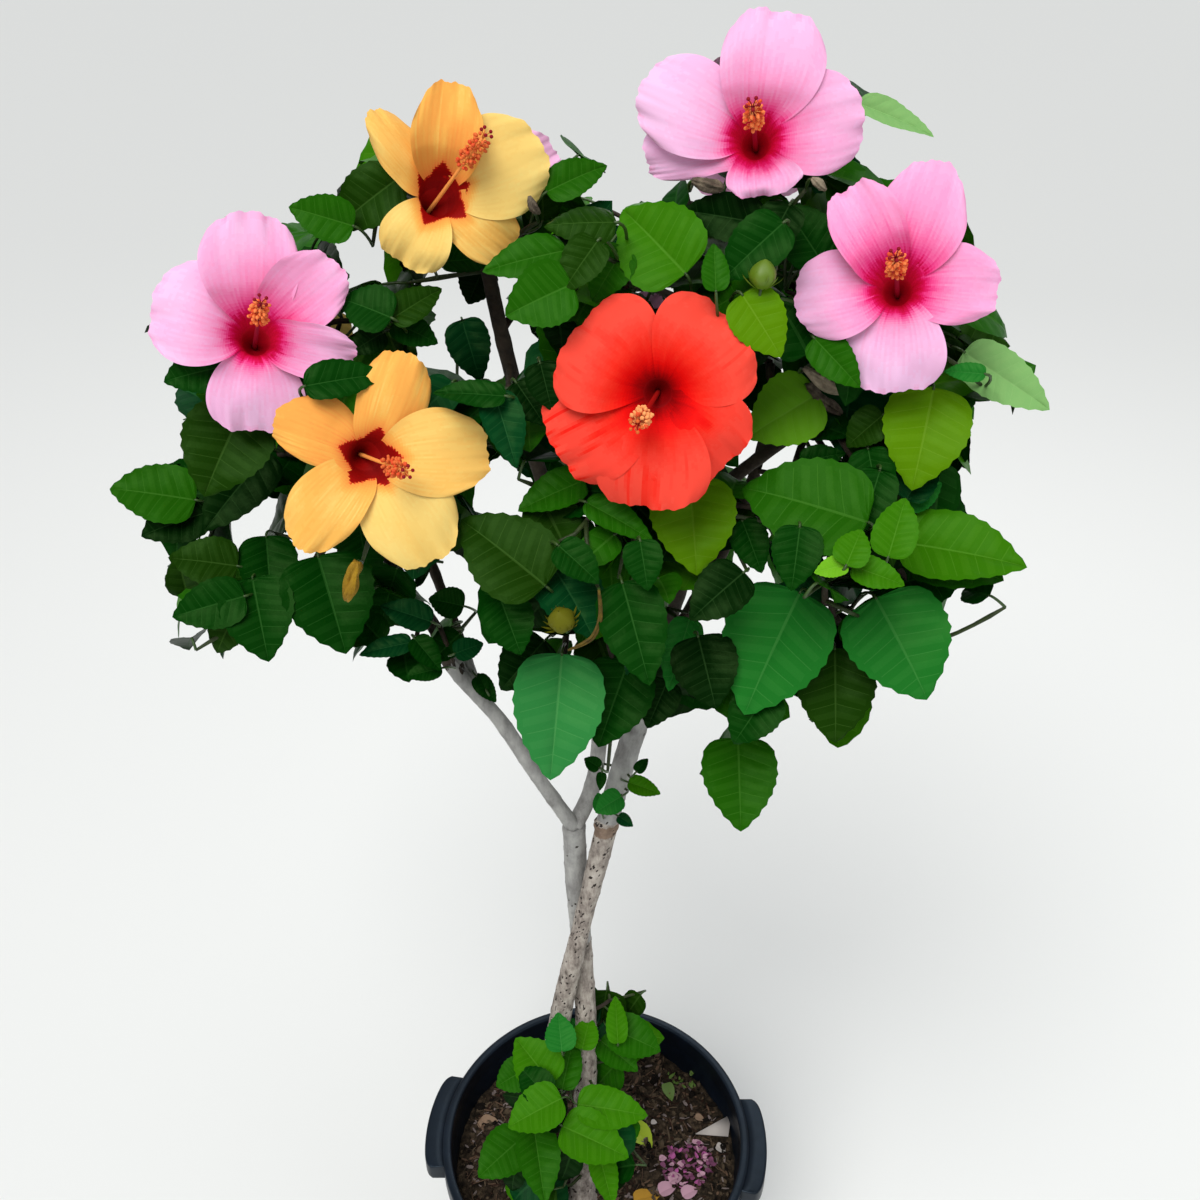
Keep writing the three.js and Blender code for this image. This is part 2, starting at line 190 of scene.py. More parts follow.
def place(px, py, y):
    """The point seen at a pixel, on the upright plane at y."""
    ray = sight(px, py)
    return CAMERA + ray * (y - CAMERA[1]) / ray[1]


def on_photo(points):
    """Pixels and depths at which points are seen."""
    gap = np.atleast_2d(points) - CAMERA
    depth = gap @ AHEAD
    px = IMAGE_SIDE / 2 + FOCAL * (gap @ SIDE) / depth
    py = IMAGE_SIDE / 2 - FOCAL * (gap @ ABOVE) / depth
    return px, py, depth


def lattice(cells):
    """A steady random value from 0 to 1 for each whole-numbered cell."""
    n = cells[..., 0] * 374761393 + cells[..., 1] * 668265263 + cells[..., 2] * 2147483647
    n = (n ^ (n >> 13)) * 1274126177
    return ((n ^ (n >> 16)) & 0xFFFF) / 65535.0


def noise(points):
    """Smooth value noise from -1 to 1, one cell to a unit."""
    base = np.floor(points).astype(np.int64)
    part = points - base
    part = part * part * (3 - 2 * part)
    total = 0
    for corner in np.ndindex(2, 2, 2):
        weight = 1
        for axis in range(3):
            weight = weight * (part[..., axis] if corner[axis] else 1 - part[..., axis])
        total = total + weight * lattice(base + np.array(corner))
    return 2 * total - 1


def quads(rows, columns, wrap=False):
    """Triangles over a grid of vertices, row by row."""
    index = np.arange(rows * columns).reshape(rows, columns)
    if wrap:
        index = np.hstack([index, index[:, :1]])
    a, b, c, d = index[:-1, :-1], index[:-1, 1:], index[1:, 1:], index[1:, :-1]
    return np.stack([np.stack([a, b, c], -1), np.stack([a, c, d], -1)], 2).reshape(-1, 3)


class Sheaf:
    """Many small meshes joined into one."""

    def __init__(self):
        self.points, self.faces, self.kinds, self.count = [], [], [], 0

    def add(self, points, faces, kinds=0):
        self.points.append(points)
        self.faces.append(faces + self.count)
        self.kinds.append(np.broadcast_to(kinds, len(faces)))
        self.count += len(points)

    def build(self, name, materials, slot, replaced=()):
        points = np.vstack(self.points).astype(np.float32)
        faces = np.vstack(self.faces).astype(np.int32)
        kinds = np.concatenate(self.kinds).astype(np.int32)
        mesh = bpy.data.meshes.new(name)
        mesh.vertices.add(len(points))
        mesh.vertices.foreach_set("co", points.ravel())
        mesh.loops.add(faces.size)
        mesh.loops.foreach_set("vertex_index", faces.ravel())
        mesh.polygons.add(len(faces))
        mesh.polygons.foreach_set("loop_start", np.arange(0, faces.size, 3, dtype=np.int32))
        for entry in materials:
            mesh.materials.append(entry)
        mesh.polygons.foreach_set("material_index", kinds)
        mesh.polygons.foreach_set("use_smooth", np.ones(len(faces), bool))
        mesh.update(calc_edges=True)
        mesh.validate()
        piece = bpy.data.objects.new(name, mesh)
        bpy.context.scene.collection.objects.link(piece)
        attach(piece, "root")
        if replaced:
            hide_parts(*replaced)
        print(name, len(faces), "triangles")


def material(name, colour, rough=0.5, spread=0.06, scale=400.0, bump=0.15, depth=0.0003, specular=0.5,
             tint=(1, 1, 1)):
    """A plain base colour with fine grain in its gloss and relief."""
    made = bpy.data.materials.new(name)
    made.use_nodes = True
    tree = made.node_tree
    shader = tree.nodes["Principled BSDF"]
    shader.inputs["Base Color"].default_value = linear(colour)
    shader.inputs["Specular IOR Level"].default_value = specular
    shader.inputs["Specular Tint"].default_value = (*tint, 1)
    place_node = tree.nodes.new("ShaderNodeTexCoord")
    grain = tree.nodes.new("ShaderNodeTexNoise")
    grain.inputs["Scale"].default_value = scale
    grain.inputs["Detail"].default_value = 3.0
    tree.links.new(place_node.outputs["Object"], grain.inputs["Vector"])
    gloss = tree.nodes.new("ShaderNodeMapRange")
    gloss.inputs["To Min"].default_value = rough - spread
    gloss.inputs["To Max"].default_value = rough + spread
    tree.links.new(grain.outputs["Fac"], gloss.inputs["Value"])
    tree.links.new(gloss.outputs["Result"], shader.inputs["Roughness"])
    relief = tree.nodes.new("ShaderNodeBump")
    relief.inputs["Strength"].default_value = bump
    relief.inputs["Distance"].default_value = depth
    tree.links.new(grain.outputs["Fac"], relief.inputs["Height"])
    tree.links.new(relief.outputs["Normal"], shader.inputs["Normal"])
    return made


def mottled(name, colours, scale=60.0, rough=0.7, spread=0.15, bump=0.5, depth=0.0008, stretch=(1, 1, 1),
            specular=0.4, tint=(1, 1, 1)):
    """A material whose colour wanders through a ramp."""
    made = material(name, colours[0][1], rough, spread, scale * 6, bump, depth, specular, tint)
    tree = made.node_tree
    shader = tree.nodes["Principled BSDF"]
    place_node = tree.nodes["Texture Coordinate"]
    stretched = tree.nodes.new("ShaderNodeMapping")
    stretched.inputs["Scale"].default_value = stretch
    tree.links.new(place_node.outputs["Object"], stretched.inputs["Vector"])
    cloud = tree.nodes.new("ShaderNodeTexNoise")
    cloud.inputs["Scale"].default_value = scale
    cloud.inputs["Detail"].default_value = 8.0
    cloud.inputs["Roughness"].default_value = 0.65
    tree.links.new(stretched.outputs["Vector"], cloud.inputs["Vector"])
    ramp = tree.nodes.new("ShaderNodeValToRGB")
    while len(ramp.color_ramp.elements) < len(colours):
        ramp.color_ramp.elements.new(0.5)
    for element, (position, colour) in zip(ramp.color_ramp.elements, colours):
        element.position = position
        element.color = linear(colour)
    tree.links.new(cloud.outputs["Fac"], ramp.inputs["Fac"])
    tree.links.new(ramp.outputs["Color"], shader.inputs["Base Color"])
    return made


# Curves and tubes
def curve_through(route, step=0.004):
    """Even points on a centripetal Catmull-Rom curve through a route."""
    p = np.array(route, float)
    p = np.vstack([2 * p[0] - p[1], p, 2 * p[-1] - p[-2]])
    made = []
    for i in range(1, len(p) - 2):
        knots = [0.0]
        for j in range(3):
            knots.append(knots[-1] + max(np.linalg.norm(p[i + j] - p[i + j - 1]), 1e-6) ** 0.5)
        t = np.linspace(knots[1], knots[2], 24, endpoint=i == len(p) - 3)[:, None]
        q = p[i - 1:i + 3]
        for level in range(1, 4):
            q = [((knots[j + level] - t) * q[j] + (t - knots[j]) * q[j + 1]) / (knots[j + level] - knots[j])
                 for j in range(4 - level)]
        made.append(q[0])
    fine = np.vstack(made)
    run = np.concatenate([[0], np.cumsum(np.linalg.norm(np.diff(fine, axis=0), axis=1))])
    count = max(3, int(run[-1] / step) + 1)
    at = np.linspace(0, run[-1], count)
    return np.stack([np.interp(at, run, fine[:, k]) for k in range(3)], 1)


def ring_frames(path):
    """Two steady cross directions at each point of a path."""
    along = np.gradient(path, axis=0)
    along /= np.linalg.norm(along, axis=1)[:, None] + 1e-12
    across = np.zeros_like(path)
    first = np.cross(along[0], (0.13, 1, 0.2))
    across[0] = unit(first)
    for i in range(1, len(path)):
        across[i] = unit(across[i - 1] - along[i] * (across[i - 1] @ along[i]))
    return along, across, np.cross(along, across)


def ring_directions(path, sides):
    """Outward directions of the points of each ring along a path."""
    _, across, over = ring_frames(path)
    turn = turns(sides)
    return across[:, None] * np.cos(turn)[None, :, None] + over[:, None] * np.sin(turn)[None, :, None]


def tube(path, radii, sides):
    """Vertices and triangles of a closed round tube; radii may hold one value or one row for each ring."""
    path = np.asarray(path, float)
    radii = np.broadcast_to(np.asarray(radii, float).reshape(len(path) if np.ndim(radii) else 1, -1),
                            (len(path), sides))
    points = (path[:, None] + ring_directions(path, sides) * radii[..., None]).reshape(-1, 3)
    last = len(points)
    points = np.vstack([points, path[:1], path[-1:]])
    j = np.arange(sides)
    k = (j + 1) % sides
    end = (len(path) - 1) * sides
    faces = np.vstack([quads(len(path), sides, wrap=True), np.stack([np.full(sides, last), k, j], 1),
                       np.stack([np.full(sides, last + 1), end + j, end + k], 1)])
    return points, faces


# Blades of the leaves
PALM_SHARE = 0.26
VEIN_HALF = 0.0022


class Blade:
    """The grid of a toothed blade: rows from the midrib to the edge, with narrow rows along the veins."""

    def __init__(self, rows, vein_rows, sides):
        self.rows, self.vein_rows = rows, vein_rows
        at = []
        for i in range(rows + 1):
            at += [i / rows - VEIN_HALF, i / rows + VEIN_HALF] if i in vein_rows else [i / rows]
        self.at = np.array(at)
        self.columns = np.array([-c for c in sides[::-1]] + [0] + sides)
        self.middle = len(sides)
        index = np.arange(len(at) * len(self.columns)).reshape(len(at), -1)
        index[0, :] = 0
        index[-1, :] = index[-1, 0]
        index[self.at <= PALM_SHARE, self.middle] = 0
        faces, kinds = [], []
        for r in range(len(at) - 1):
            vein_row = self.at[r + 1] - self.at[r] < 2.5 * VEIN_HALF
            for c in range(len(self.columns) - 1):
                inner, outer = sorted(abs(self.columns[c:c + 2]))
                vein = outer == sides[0] or (vein_row and inner < 0.75)
                middle_row = (self.at[r] + self.at[r + 1]) / 2 * rows
                phase = (middle_row - vein_rows[0]) / (vein_rows[1] - vein_rows[0]) % 1
                # Faces on the raised skin between the veins take a slightly lighter colour: a painted
                # highlight.
                highlight_face = 0.3 < phase < 0.8 and outer < 1
                corners = index[r, c], index[r, c + 1], index[r + 1, c + 1], index[r + 1, c]
                for face in (corners[:3], (corners[0], corners[2], corners[3])):
                    if len(set(face)) == 3:
                        faces.append(face)
                        kinds.append(1 if vein else 2 if highlight_face else 0)
        self.faces, self.kinds = np.array(faces), np.array(kinds)
        self.outline = [r * len(self.columns) + c for r in range(1, len(at) - 1, 3)
                        for c in (0, self.middle // 2, self.middle + 2, len(self.columns) - 1)]
        self.outline.append((len(at) - 1) * len(self.columns))

    def flat(self, ratio, seed, teeth=0.020, relief=0.018):
        """Vertices of unit length, with the veins sunk and the skin between them raised."""
        s = self.at[:, None]
        t = self.columns[None, :]
        side = np.abs(t)
        along = s ** 1.15
        half = 0.5 * ratio * 2.49 * along ** 0.5 * np.clip(1 - along, 0, 1) ** 0.92
        tooth = np.abs(((s * self.rows / 2 + 0.5) % 1) - 0.5) * 2
        grown = teeth * (tooth - 0.45) * smooth(s, 0.08, 0.25) * (1 - smooth(s, 0.93, 1.0))
        middle = np.where(s <= PALM_SHARE, 0, (s - PALM_SHARE) / (1 - PALM_SHARE)) ** 1.05
        edge_y = along - 0.05 * np.sin(math.pi * np.clip(s / 0.4, 0, 1)) + 0.5 * grown
        x = np.sign(t) * side * (half + grown * ratio)
        y = middle + (edge_y - middle) * side ** 0.9
        between = (s * self.rows - self.vein_rows[0]) / (self.vein_rows[1] - self.vein_rows[0])
        wave = np.abs(np.sin(math.pi * between)) ** 0.7
        z = relief * wave * np.sin(math.pi * side ** 0.8) * (1 - 0.4 * s)
        z = z - 0.012 * np.exp(-((side / 0.10) ** 2)) * (1 - s)
        lump = np.stack([x * 3 + seed, y * 3 + 0 * x, 0 * x + seed * 0.7], -1)
        fine = np.stack([x * 11 + seed, y * 11 + 0 * x, 0 * x + seed], -1)
        z = z + 0.030 * noise(lump) * side + 0.007 * noise(fine) * side
        z = z + 0.014 * np.sin(9 * y + seed) * side ** 3
        return np.stack([x, y + 0 * x, z], -1).reshape(-1, 3)


FINE_BLADE = Blade(20, (2, 5, 8, 11, 14, 17), [0.028, 0.2, 0.42, 0.65, 0.85, 1.0])
SMALL_BLADE = Blade(12, (1, 3, 5, 7, 9), [0.06, 0.45, 0.8, 1.0])
BRACT_BLADE = Blade(6, (1, 3), [0.2, 1.0])


def bend(points, fold, droop, curl, twist=0.0):
    """A blade folded on its midrib, drooping along it and curled at its tip."""
    x, y, z = points.T
    z = z * math.cos(fold) + np.abs(x) * math.sin(fold)
    x = x * math.cos(fold)
    turn = twist * y
    x, z = x * np.cos(turn) - z * np.sin(turn), x * np.sin(turn) + z * np.cos(turn)
    at = np.linspace(-0.1, 1.1, 61)
    angle = droop * at + curl * np.clip(at, 0, 2) ** 3
    step = at[1] - at[0]
    run = np.concatenate([[0], np.cumsum((np.cos(angle[1:]) + np.cos(angle[:-1])) / 2 * step)])
    fall = np.concatenate([[0], np.cumsum((np.sin(angle[1:]) + np.sin(angle[:-1])) / 2 * step)])
    run = run - np.interp(0, at, run)
    fall = fall - np.interp(0, at, fall)
    here = np.interp(y, at, angle)
    forward = np.interp(y, at, run) + z * np.sin(here)
    return np.stack([x, forward, z * np.cos(here) - np.interp(y, at, fall)], 1)


def set_at(points, base, direction, normal, length):
    """Points of unit size put at a base, with their y along direction and their z near normal."""
    d = unit(direction)
    n = unit(np.asarray(normal) - d * (np.asarray(normal) @ d))
    x = np.cross(d, n)
    return base + length * (points[:, :1] * x + points[:, 1:2] * d + points[:, 2:] * n)


# The crown's solids, for what lies in them
foliage_names = [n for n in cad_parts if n.startswith("foliage_")]


def solids_tree(names):
    points, faces, owner = [], [], []
    for number, name in enumerate(names):
        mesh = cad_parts[name].data
        start = len(points)
        points += [v.co.copy() for v in mesh.vertices]
        faces += [[start + i for i in p.vertices] for p in mesh.polygons]
        owner += [number] * len(mesh.polygons)
    return BVHTree.FromPolygons(points, faces), owner


CROWN, CROWN_OWNER = solids_tree(foliage_names)
LEAFY = solids_tree([n for n in foliage_names if not n.endswith(("_flower", "top_right_tip"))])[0]
BOXES = {n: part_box(n) for n in foliage_names}
CENTRES = np.array([list((BOXES[n][0] + BOXES[n][1]) / 2) for n in foliage_names])
CROWN_MIDDLE = np.array([-0.02, 0.03, 0.98])


def outside(point):
    """How far a point is outside the foliage, negative inside, and which mass is nearest."""
    where, normal, face, distance = CROWN.find_nearest(Vector(point))
    sign = 1 if (Vector(point) - where).dot(normal) > 0 else -1
    return sign * distance, CROWN_OWNER[face]


DAY_A = np.array([(a[0], DAYLIGHT_FRONT, a[1]) for a, b, r in DAYLIGHT])
DAY_B = np.array([(b[0], DAYLIGHT_BACK, b[1]) for a, b, r in DAYLIGHT])
DAY_R = np.array([r for a, b, r in DAYLIGHT])


def in_daylight(points, spare):
    """True if any point lies in an opening that shows sky."""
    line = DAY_B - DAY_A
    line = line / np.linalg.norm(line, axis=1)[:, None]
    gap = points[:, None] - DAY_A[None]
    along = (gap * line[None]).sum(-1)
    away = np.linalg.norm(gap - along[..., None] * line[None], axis=-1)
    return bool((away < DAY_R[None] - spare).any())


# Places beside the crown's leaves where none may be seen: pixel and radius.
BARE_SPOTS = [
    (172, 436, 26), (112, 530, 18), (154, 606, 16), (206, 658, 14), (299, 642, 20), (604, 196, 12),
    (1030, 350, 22), (985, 424, 22), (985, 498, 18), (1014, 510, 14), (966, 626, 20), (884, 728, 24),
    (928, 710, 16), (790, 728, 16), (692, 728, 20), (603, 752, 10), (592, 652, 14), (708, 252, 12),
    (975, 225, 24), (372, 262, 26), (715, 40, 20), (395, 104, 20), (740, 574, 14), (776, 470, 14),
    (876, 130, 14), (858, 163, 18), (1052, 372, 20), (968, 655, 18), (430, 360, 12), (520, 355, 22),
]

# What the leaves and blooms that the photograph shows cover, cell by cell, with their depth
CELL = 6
COVER_GAP = 0.005
cover = np.full((IMAGE_SIDE // CELL, IMAGE_SIDE // CELL), np.inf)


def cells_of(points):
    px, py, depth = on_photo(points)
    column = np.clip((px / CELL).astype(int), 0, cover.shape[1] - 1)
    row = np.clip((py / CELL).astype(int), 0, cover.shape[0] - 1)
    return row, column, depth


def mark_cover(points, faces):
    middle = points[faces].mean(1)
    row, column, depth = cells_of(np.vstack([points, middle]))
    np.minimum.at(cover, (row, column), depth)


def covers_shown(points):
    """True if points would hide a leaf or a bloom of the photograph."""
    row, column, depth = cells_of(points)
    return bool((depth < cover[row, column] + COVER_GAP)[np.isfinite(cover[row, column])].any())


def crown_mask():
    """The cells in which the photograph shows leaves or blooms."""
    mask = np.isfinite(cover)
    for row, column in np.ndindex(cover.shape):
        if not mask[row, column]:
            ray = Vector(unit(sight((column + 0.5) * CELL, (row + 0.5) * CELL)))
            mask[row, column] = LEAFY.ray_cast(Vector(CAMERA), ray)[0] is not None
    rows, columns = np.mgrid[:mask.shape[0], :mask.shape[1]]
    for px, py, reach in BARE_SPOTS:
        bare = np.hypot((columns + 0.5) * CELL - px, (rows + 0.5) * CELL - py) < reach
        mask &= ~bare | np.isfinite(cover)
    return mask


def seen_outside(points, mask):
    """The share of points that the photograph's camera would see beyond the crown."""
    row, column, _ = cells_of(points)
    return 1 - mask[row, column].mean()


VOXEL = 0.007
taken = {}


def crowding(points):
    """The share of points in room that another leaf or petal holds."""
    keys = map(tuple, np.floor(points / VOXEL).astype(int))
    return sum(k in taken for k in keys) / len(points)


def take_room(points):
    for key in map(tuple, np.floor(points / VOXEL).astype(int)):
        taken[key] = True


# Blooms
TONES = 32
PINK = [(0.00, "#78000c"), (0.12, "#920014"), (0.26, "#bc0430"), (0.34, "#d40c56"), (0.42, "#e83a84"),
        (0.54, "#f0629e"), (0.70, "#f28cbc"), (0.86, "#f0a8d2"), (1.00, "#f1c2e6")]
YELLOW = [(0.00, "#6f0202"), (0.14, "#8a0302"), (0.25, "#a60c04"), (0.33, "#ee7038"), (0.40, "#ee9244"),
          (0.52, "#ee9e48"), (0.68, "#eeae52"), (0.84, "#efc46a"), (1.00, "#f0d47e")]
RED = [(0.00, "#600002"), (0.14, "#800003"), (0.28, "#ac0003"), (0.42, "#ce0002"), (0.55, "#e00602"),
       (0.70, "#ea2416"), (0.85, "#ed3c2d"), (1.00, "#ee5242")]


def mix(ramp, at):
    """The colour of a ramp as hex."""
    stops = [p for p, _ in ramp]
    parts = [np.interp(at, stops, [int(c[i:i + 2], 16) for _, c in ramp]) for i in (1, 3, 5)]
    return "#" + "".join(f"{int(round(v)):02x}" for v in parts)


PETAL_ROWS, PETAL_COLUMNS = 44, 39
CLAW = 0.20
CLAW_START = 0.0022
CLAW_DEPTH = 0.024
CALYX_BACK = 0.014
THROAT = 0.0100
THROAT_DEPTH = 0.0200
THROAT_CURVE = 0.0085
WRAP = math.radians(56)
RIDGES = 34


def funnel(reach):
    """Height of the bloom's face at a distance from its middle, where it sinks into the throat."""
    return -THROAT_DEPTH * np.exp(-((reach / THROAT_CURVE) ** 1.3))


def petal(shape, sunk, ruffle, seed):
    """Grid of one petal pointing along +x from the throat's middle, with the bloom's face towards +z."""
    length, left, right, lift, over, cup, square = shape
    u = np.linspace(0, 1, PETAL_ROWS)[:, None]
    t = np.linspace(-1, 1, PETAL_COLUMNS)[None, :]
    s = np.clip((u - CLAW) / (1 - CLAW), 0, 1) ** 1.25
    claw = np.clip(u / CLAW, 0, 1)
    drop = 0.42 * (1 - square) + 0.14 * square
    reach = length * (1 - drop * np.abs(t) ** (1.9 + 2.6 * square))
    reach = reach * (1 + 0.012 * np.sin(6.3 * t + seed) + 0.008 * np.sin(15 * t + 2 * seed)
                     + 0.006 * np.sin(31 * t + 5 * seed))
    radius = CLAW_START + (THROAT - CLAW_START) * claw + (reach - THROAT) * s
    half = np.where(t > 0, left, right)
    spread = np.sin(0.5 * math.pi * np.clip(s * 1.10, 0, 1)) ** 0.50
    width = 0.0098 + (half - 0.0098) * spread
    across = t * width * (1 - 0.10 * s ** 5)
    round_part = 1 - smooth(radius, 0.008, 0.021)
    x = radius * (1 - round_part + round_part * np.cos(t * WRAP))
    y = across * (1 - round_part) + radius * np.sin(t * WRAP) * round_part
    away = np.hypot(x, y)
    blade = smooth(s, 0, 0.35)
    height = funnel(away) + lift * s ** 1.25 + 0.004 * np.sin(math.pi * s) - 0.004 * s ** 3 + over * blade
    height = height + cup * t * t * blade + 0.0012 * t * blade + 0.0002 * t
    height = height + 0.00012 * s * np.cos(t * RIDGES) + ruffle * s ** 3 * np.sin(3.1 * t + seed)
    height = height + 0.4 * ruffle * s ** 6 * np.sin(12 * t + 3 * seed)
    lumps = np.stack([s * 3 + 0 * t + seed, t * 2 + 0 * s, 0 * s + 0 * t + seed], -1)
    height = height + 0.0020 * noise(lumps) * s
    points = np.stack([x, y, height], -1).reshape(-1, 3)
    return points, sunk_share(away).reshape(-1, 1) * np.array(sunk), away, t + 0 * s, s + 0 * t


def sunk_share(away):
    """How much of the throat's lean a point takes."""
    return 1 - smooth(away, 0.002, 0.012)


def middles(grid):
    return (grid[:-1, :-1] + grid[1:, :-1] + grid[:-1, 1:] + grid[1:, 1:]) / 4


# How far from the middle of the throat, in mm, a petal takes each tone: plain ones, and the warmer ones.
REACHES = [0, 6, 10, 13.5, 17.5, 22, 30, 40, 60]
PLAIN_TONES = {"petals_pink": [0.10, 0.16, 0.26, 0.37, 0.66, 0.84, 0.92, 0.96, 0.98],
               "petals_red": [0.10, 0.16, 0.28, 0.44, 0.60, 0.70, 0.82, 0.93, 0.95]}
WARM_TONES = {"petals_pink": [0.10, 0.16, 0.24, 0.31, 0.40, 0.52, 0.66, 0.77, 0.88],
              "petals_red": [0.06, 0.10, 0.17, 0.26, 0.40, 0.56, 0.74, 0.86, 0.90]}


def petal_tones(kind, away, t, s, seed, warm):
    """Tone at each face of a petal: dark throat, flame along its middle, veins and a paler middle."""
    away, t, s = 1000 * middles(away), middles(t), middles(s)
    vein = np.cos(t * RIDGES + 0.6 * np.sin(seed + 5 * s)) ** 4
    jitter = noise(np.stack([t * 9 + seed, s * 2.5, 0 * s + seed], -1))
    grain = noise(np.stack([t * 30, s * 22, 0 * s + seed * 3], -1))
    broad = noise(np.stack([t * 2.2 + seed, s * 2.6, 0 * s + seed * 7], -1))
    streak = noise(np.stack([t * 14 + seed, s * 2.8, 0 * s + seed * 5], -1))
    fade = 1 - smooth(away, 24, 56)
    if kind == "petals_yellow":
        star = 17.6 - 6.2 * np.clip(np.abs(t) * 1.6, 0, 1) ** 0.75 + 0.35 * jitter + 0.3 * streak
        settled = 0.94 - 0.38 * warm * (1 - 0.35 * smooth(broad + streak, 0, 1)) + 0.05 * broad
        body = 0.33 + (settled - 0.33) * smooth(away - star, -3, 9) ** 0.8 + 0.02 * grain
        body = body - (0.03 + 0.04 * warm) * vein * fade
        inner = 0.05 + 0.12 * smooth(away, 8, 16)
        return rounded_tones(inner + (np.maximum(body, 0.315) - inner) * smooth(away - star, -1.0, 0.8))
    e = away * (1 + 0.10 * jitter + 0.10 * streak) + 0.5 * grain
    tone = (1 - warm) * np.interp(e, REACHES, PLAIN_TONES[kind])
    tone = tone + warm * np.interp(e, REACHES, WARM_TONES[kind])
    if kind == "petals_pink":
        tone = tone - (away > 15) * (0.05 * vein + 0.04 * streak) * fade + 0.05 * broad * smooth(s, 0.2, 0.6)
        tone = tone - 0.12 * smooth(s, 0.90, 1.0) * smooth(jitter + broad, 0.2, 0.9)
    else:
        patch = smooth(streak + 0.8 * broad, 0.25, 0.85) * smooth(s, 0.20, 0.70)
        tone = tone - (0.06 + 0.26 * warm) * patch - 0.03 * streak * s
    return rounded_tones(tone + 0.012 * grain)


def rounded_tones(tone):
    """The number of each face's tone, for both of its triangles."""
    return np.repeat(np.clip((tone * TONES).astype(int), 0, TONES - 1).reshape(-1), 2)


PETALS = {"petals_pink": Sheaf(), "petals_yellow": Sheaf(), "petals_red": Sheaf()}
PETAL_RAMPS = {"petals_pink": PINK, "petals_yellow": YELLOW, "petals_red": RED}
STAMENS = Sheaf()
CALYCES = Sheaf()
RUFFLES = {"petals_pink": 0.0020, "petals_yellow": 0.0026, "petals_red": 0.0034}
LEANS = {"petals_pink": 0.38, "petals_yellow": 0.36, "petals_red": 0.10}
anchors = []
keep_clear = []


def ball(centre, radius, stretch=None):
    """A small round body."""
    rows, sides = 6, 8
    ring = np.linspace(0, math.pi, rows)[:, None]
    turn = np.linspace(0, 2 * math.pi, sides, endpoint=False)[None, :]
    points = np.stack([np.sin(ring) * np.cos(turn), np.sin(ring) * np.sin(turn), np.cos(ring) + 0 * turn], -1)
    index = np.arange(rows * sides).reshape(rows, sides)
    index[0, :], index[-1, :] = 0, (rows - 1) * sides
    wrapped = np.hstack([index, index[:, :1]])
    a, b, c, d = wrapped[:-1, :-1], wrapped[:-1, 1:], wrapped[1:, 1:], wrapped[1:, :-1]
    faces = np.stack([np.stack([a, c, b], -1), np.stack([a, d, c], -1)], 2).reshape(-1, 3)
    good = (faces[:, 0] != faces[:, 1]) & (faces[:, 1] != faces[:, 2]) & (faces[:, 0] != faces[:, 2])
    points = points.reshape(-1, 3) * radius
    if stretch is not None:
        axis = unit(stretch)
        points = points + np.outer(points @ axis, axis) * (np.linalg.norm(stretch) - 1)
    return points + centre, faces[good]


def frame_points(points, centre, right, up, face):
    return centre + points[:, :1] * right + points[:, 1:2] * up + points[:, 2:] * face


# Kinds in the sheaf of stamens.
(ANTHER, ANTHER_DARK, STIGMA, PILLAR_PINK, PILLAR_ORANGE, PILLAR_RED, FILAMENT, ANTHER_RED, ANTHER_PALE,
 STIGMA_ORANGE) = range(10)
PILLARS = {"petals_pink": PILLAR_PINK, "petals_yellow": PILLAR_ORANGE, "petals_red": PILLAR_RED}
ANTHERS = {"petals_pink": ANTHER, "petals_yellow": ANTHER_RED, "petals_red": ANTHER_PALE}
STIGMAS = {"petals_pink": STIGMA, "petals_yellow": STIGMA, "petals_red": STIGMA_ORANGE}
CUP_SIDES, CUP_ROWS = 48, 12


def throat(kind, centre, right, up, face, lean):
    """The lining of the throat: it covers the petals' claws and ends behind the petals."""
    turn = turns(CUP_SIDES)[None, :]
    away = np.linspace(0.0006, 0.0125, CUP_ROWS)[:, None] + 0 * turn
    height = funnel(away) + 0.0006 - 0.0020 * smooth(away, 0.0065, 0.0105)
    points = np.stack([away * np.cos(turn), away * np.sin(turn), height], -1).reshape(-1, 3)
    world = frame_points(points, centre, right, up, face) + sunk_share(away).reshape(-1, 1) * lean
    rows = np.repeat(np.arange(CUP_ROWS - 1), 2 * CUP_SIDES)
    deep = 0.10 if kind != "petals_yellow" else 0.06
    PETALS[kind].add(world, quads(CUP_ROWS, CUP_SIDES, wrap=True),
                     (TONES * (deep + 0.06 * smooth(rows / CUP_ROWS, 0.2, 0.8))).astype(int))


# Where the anthers start along the column, how many there are, and the column's radius.
CLUSTERS = {
    "petals_pink": (0.69, 76, 0.0014),
    "petals_yellow": (0.70, 70, 0.0012),
    "petals_red": (0.74, 84, 0.0014),
}


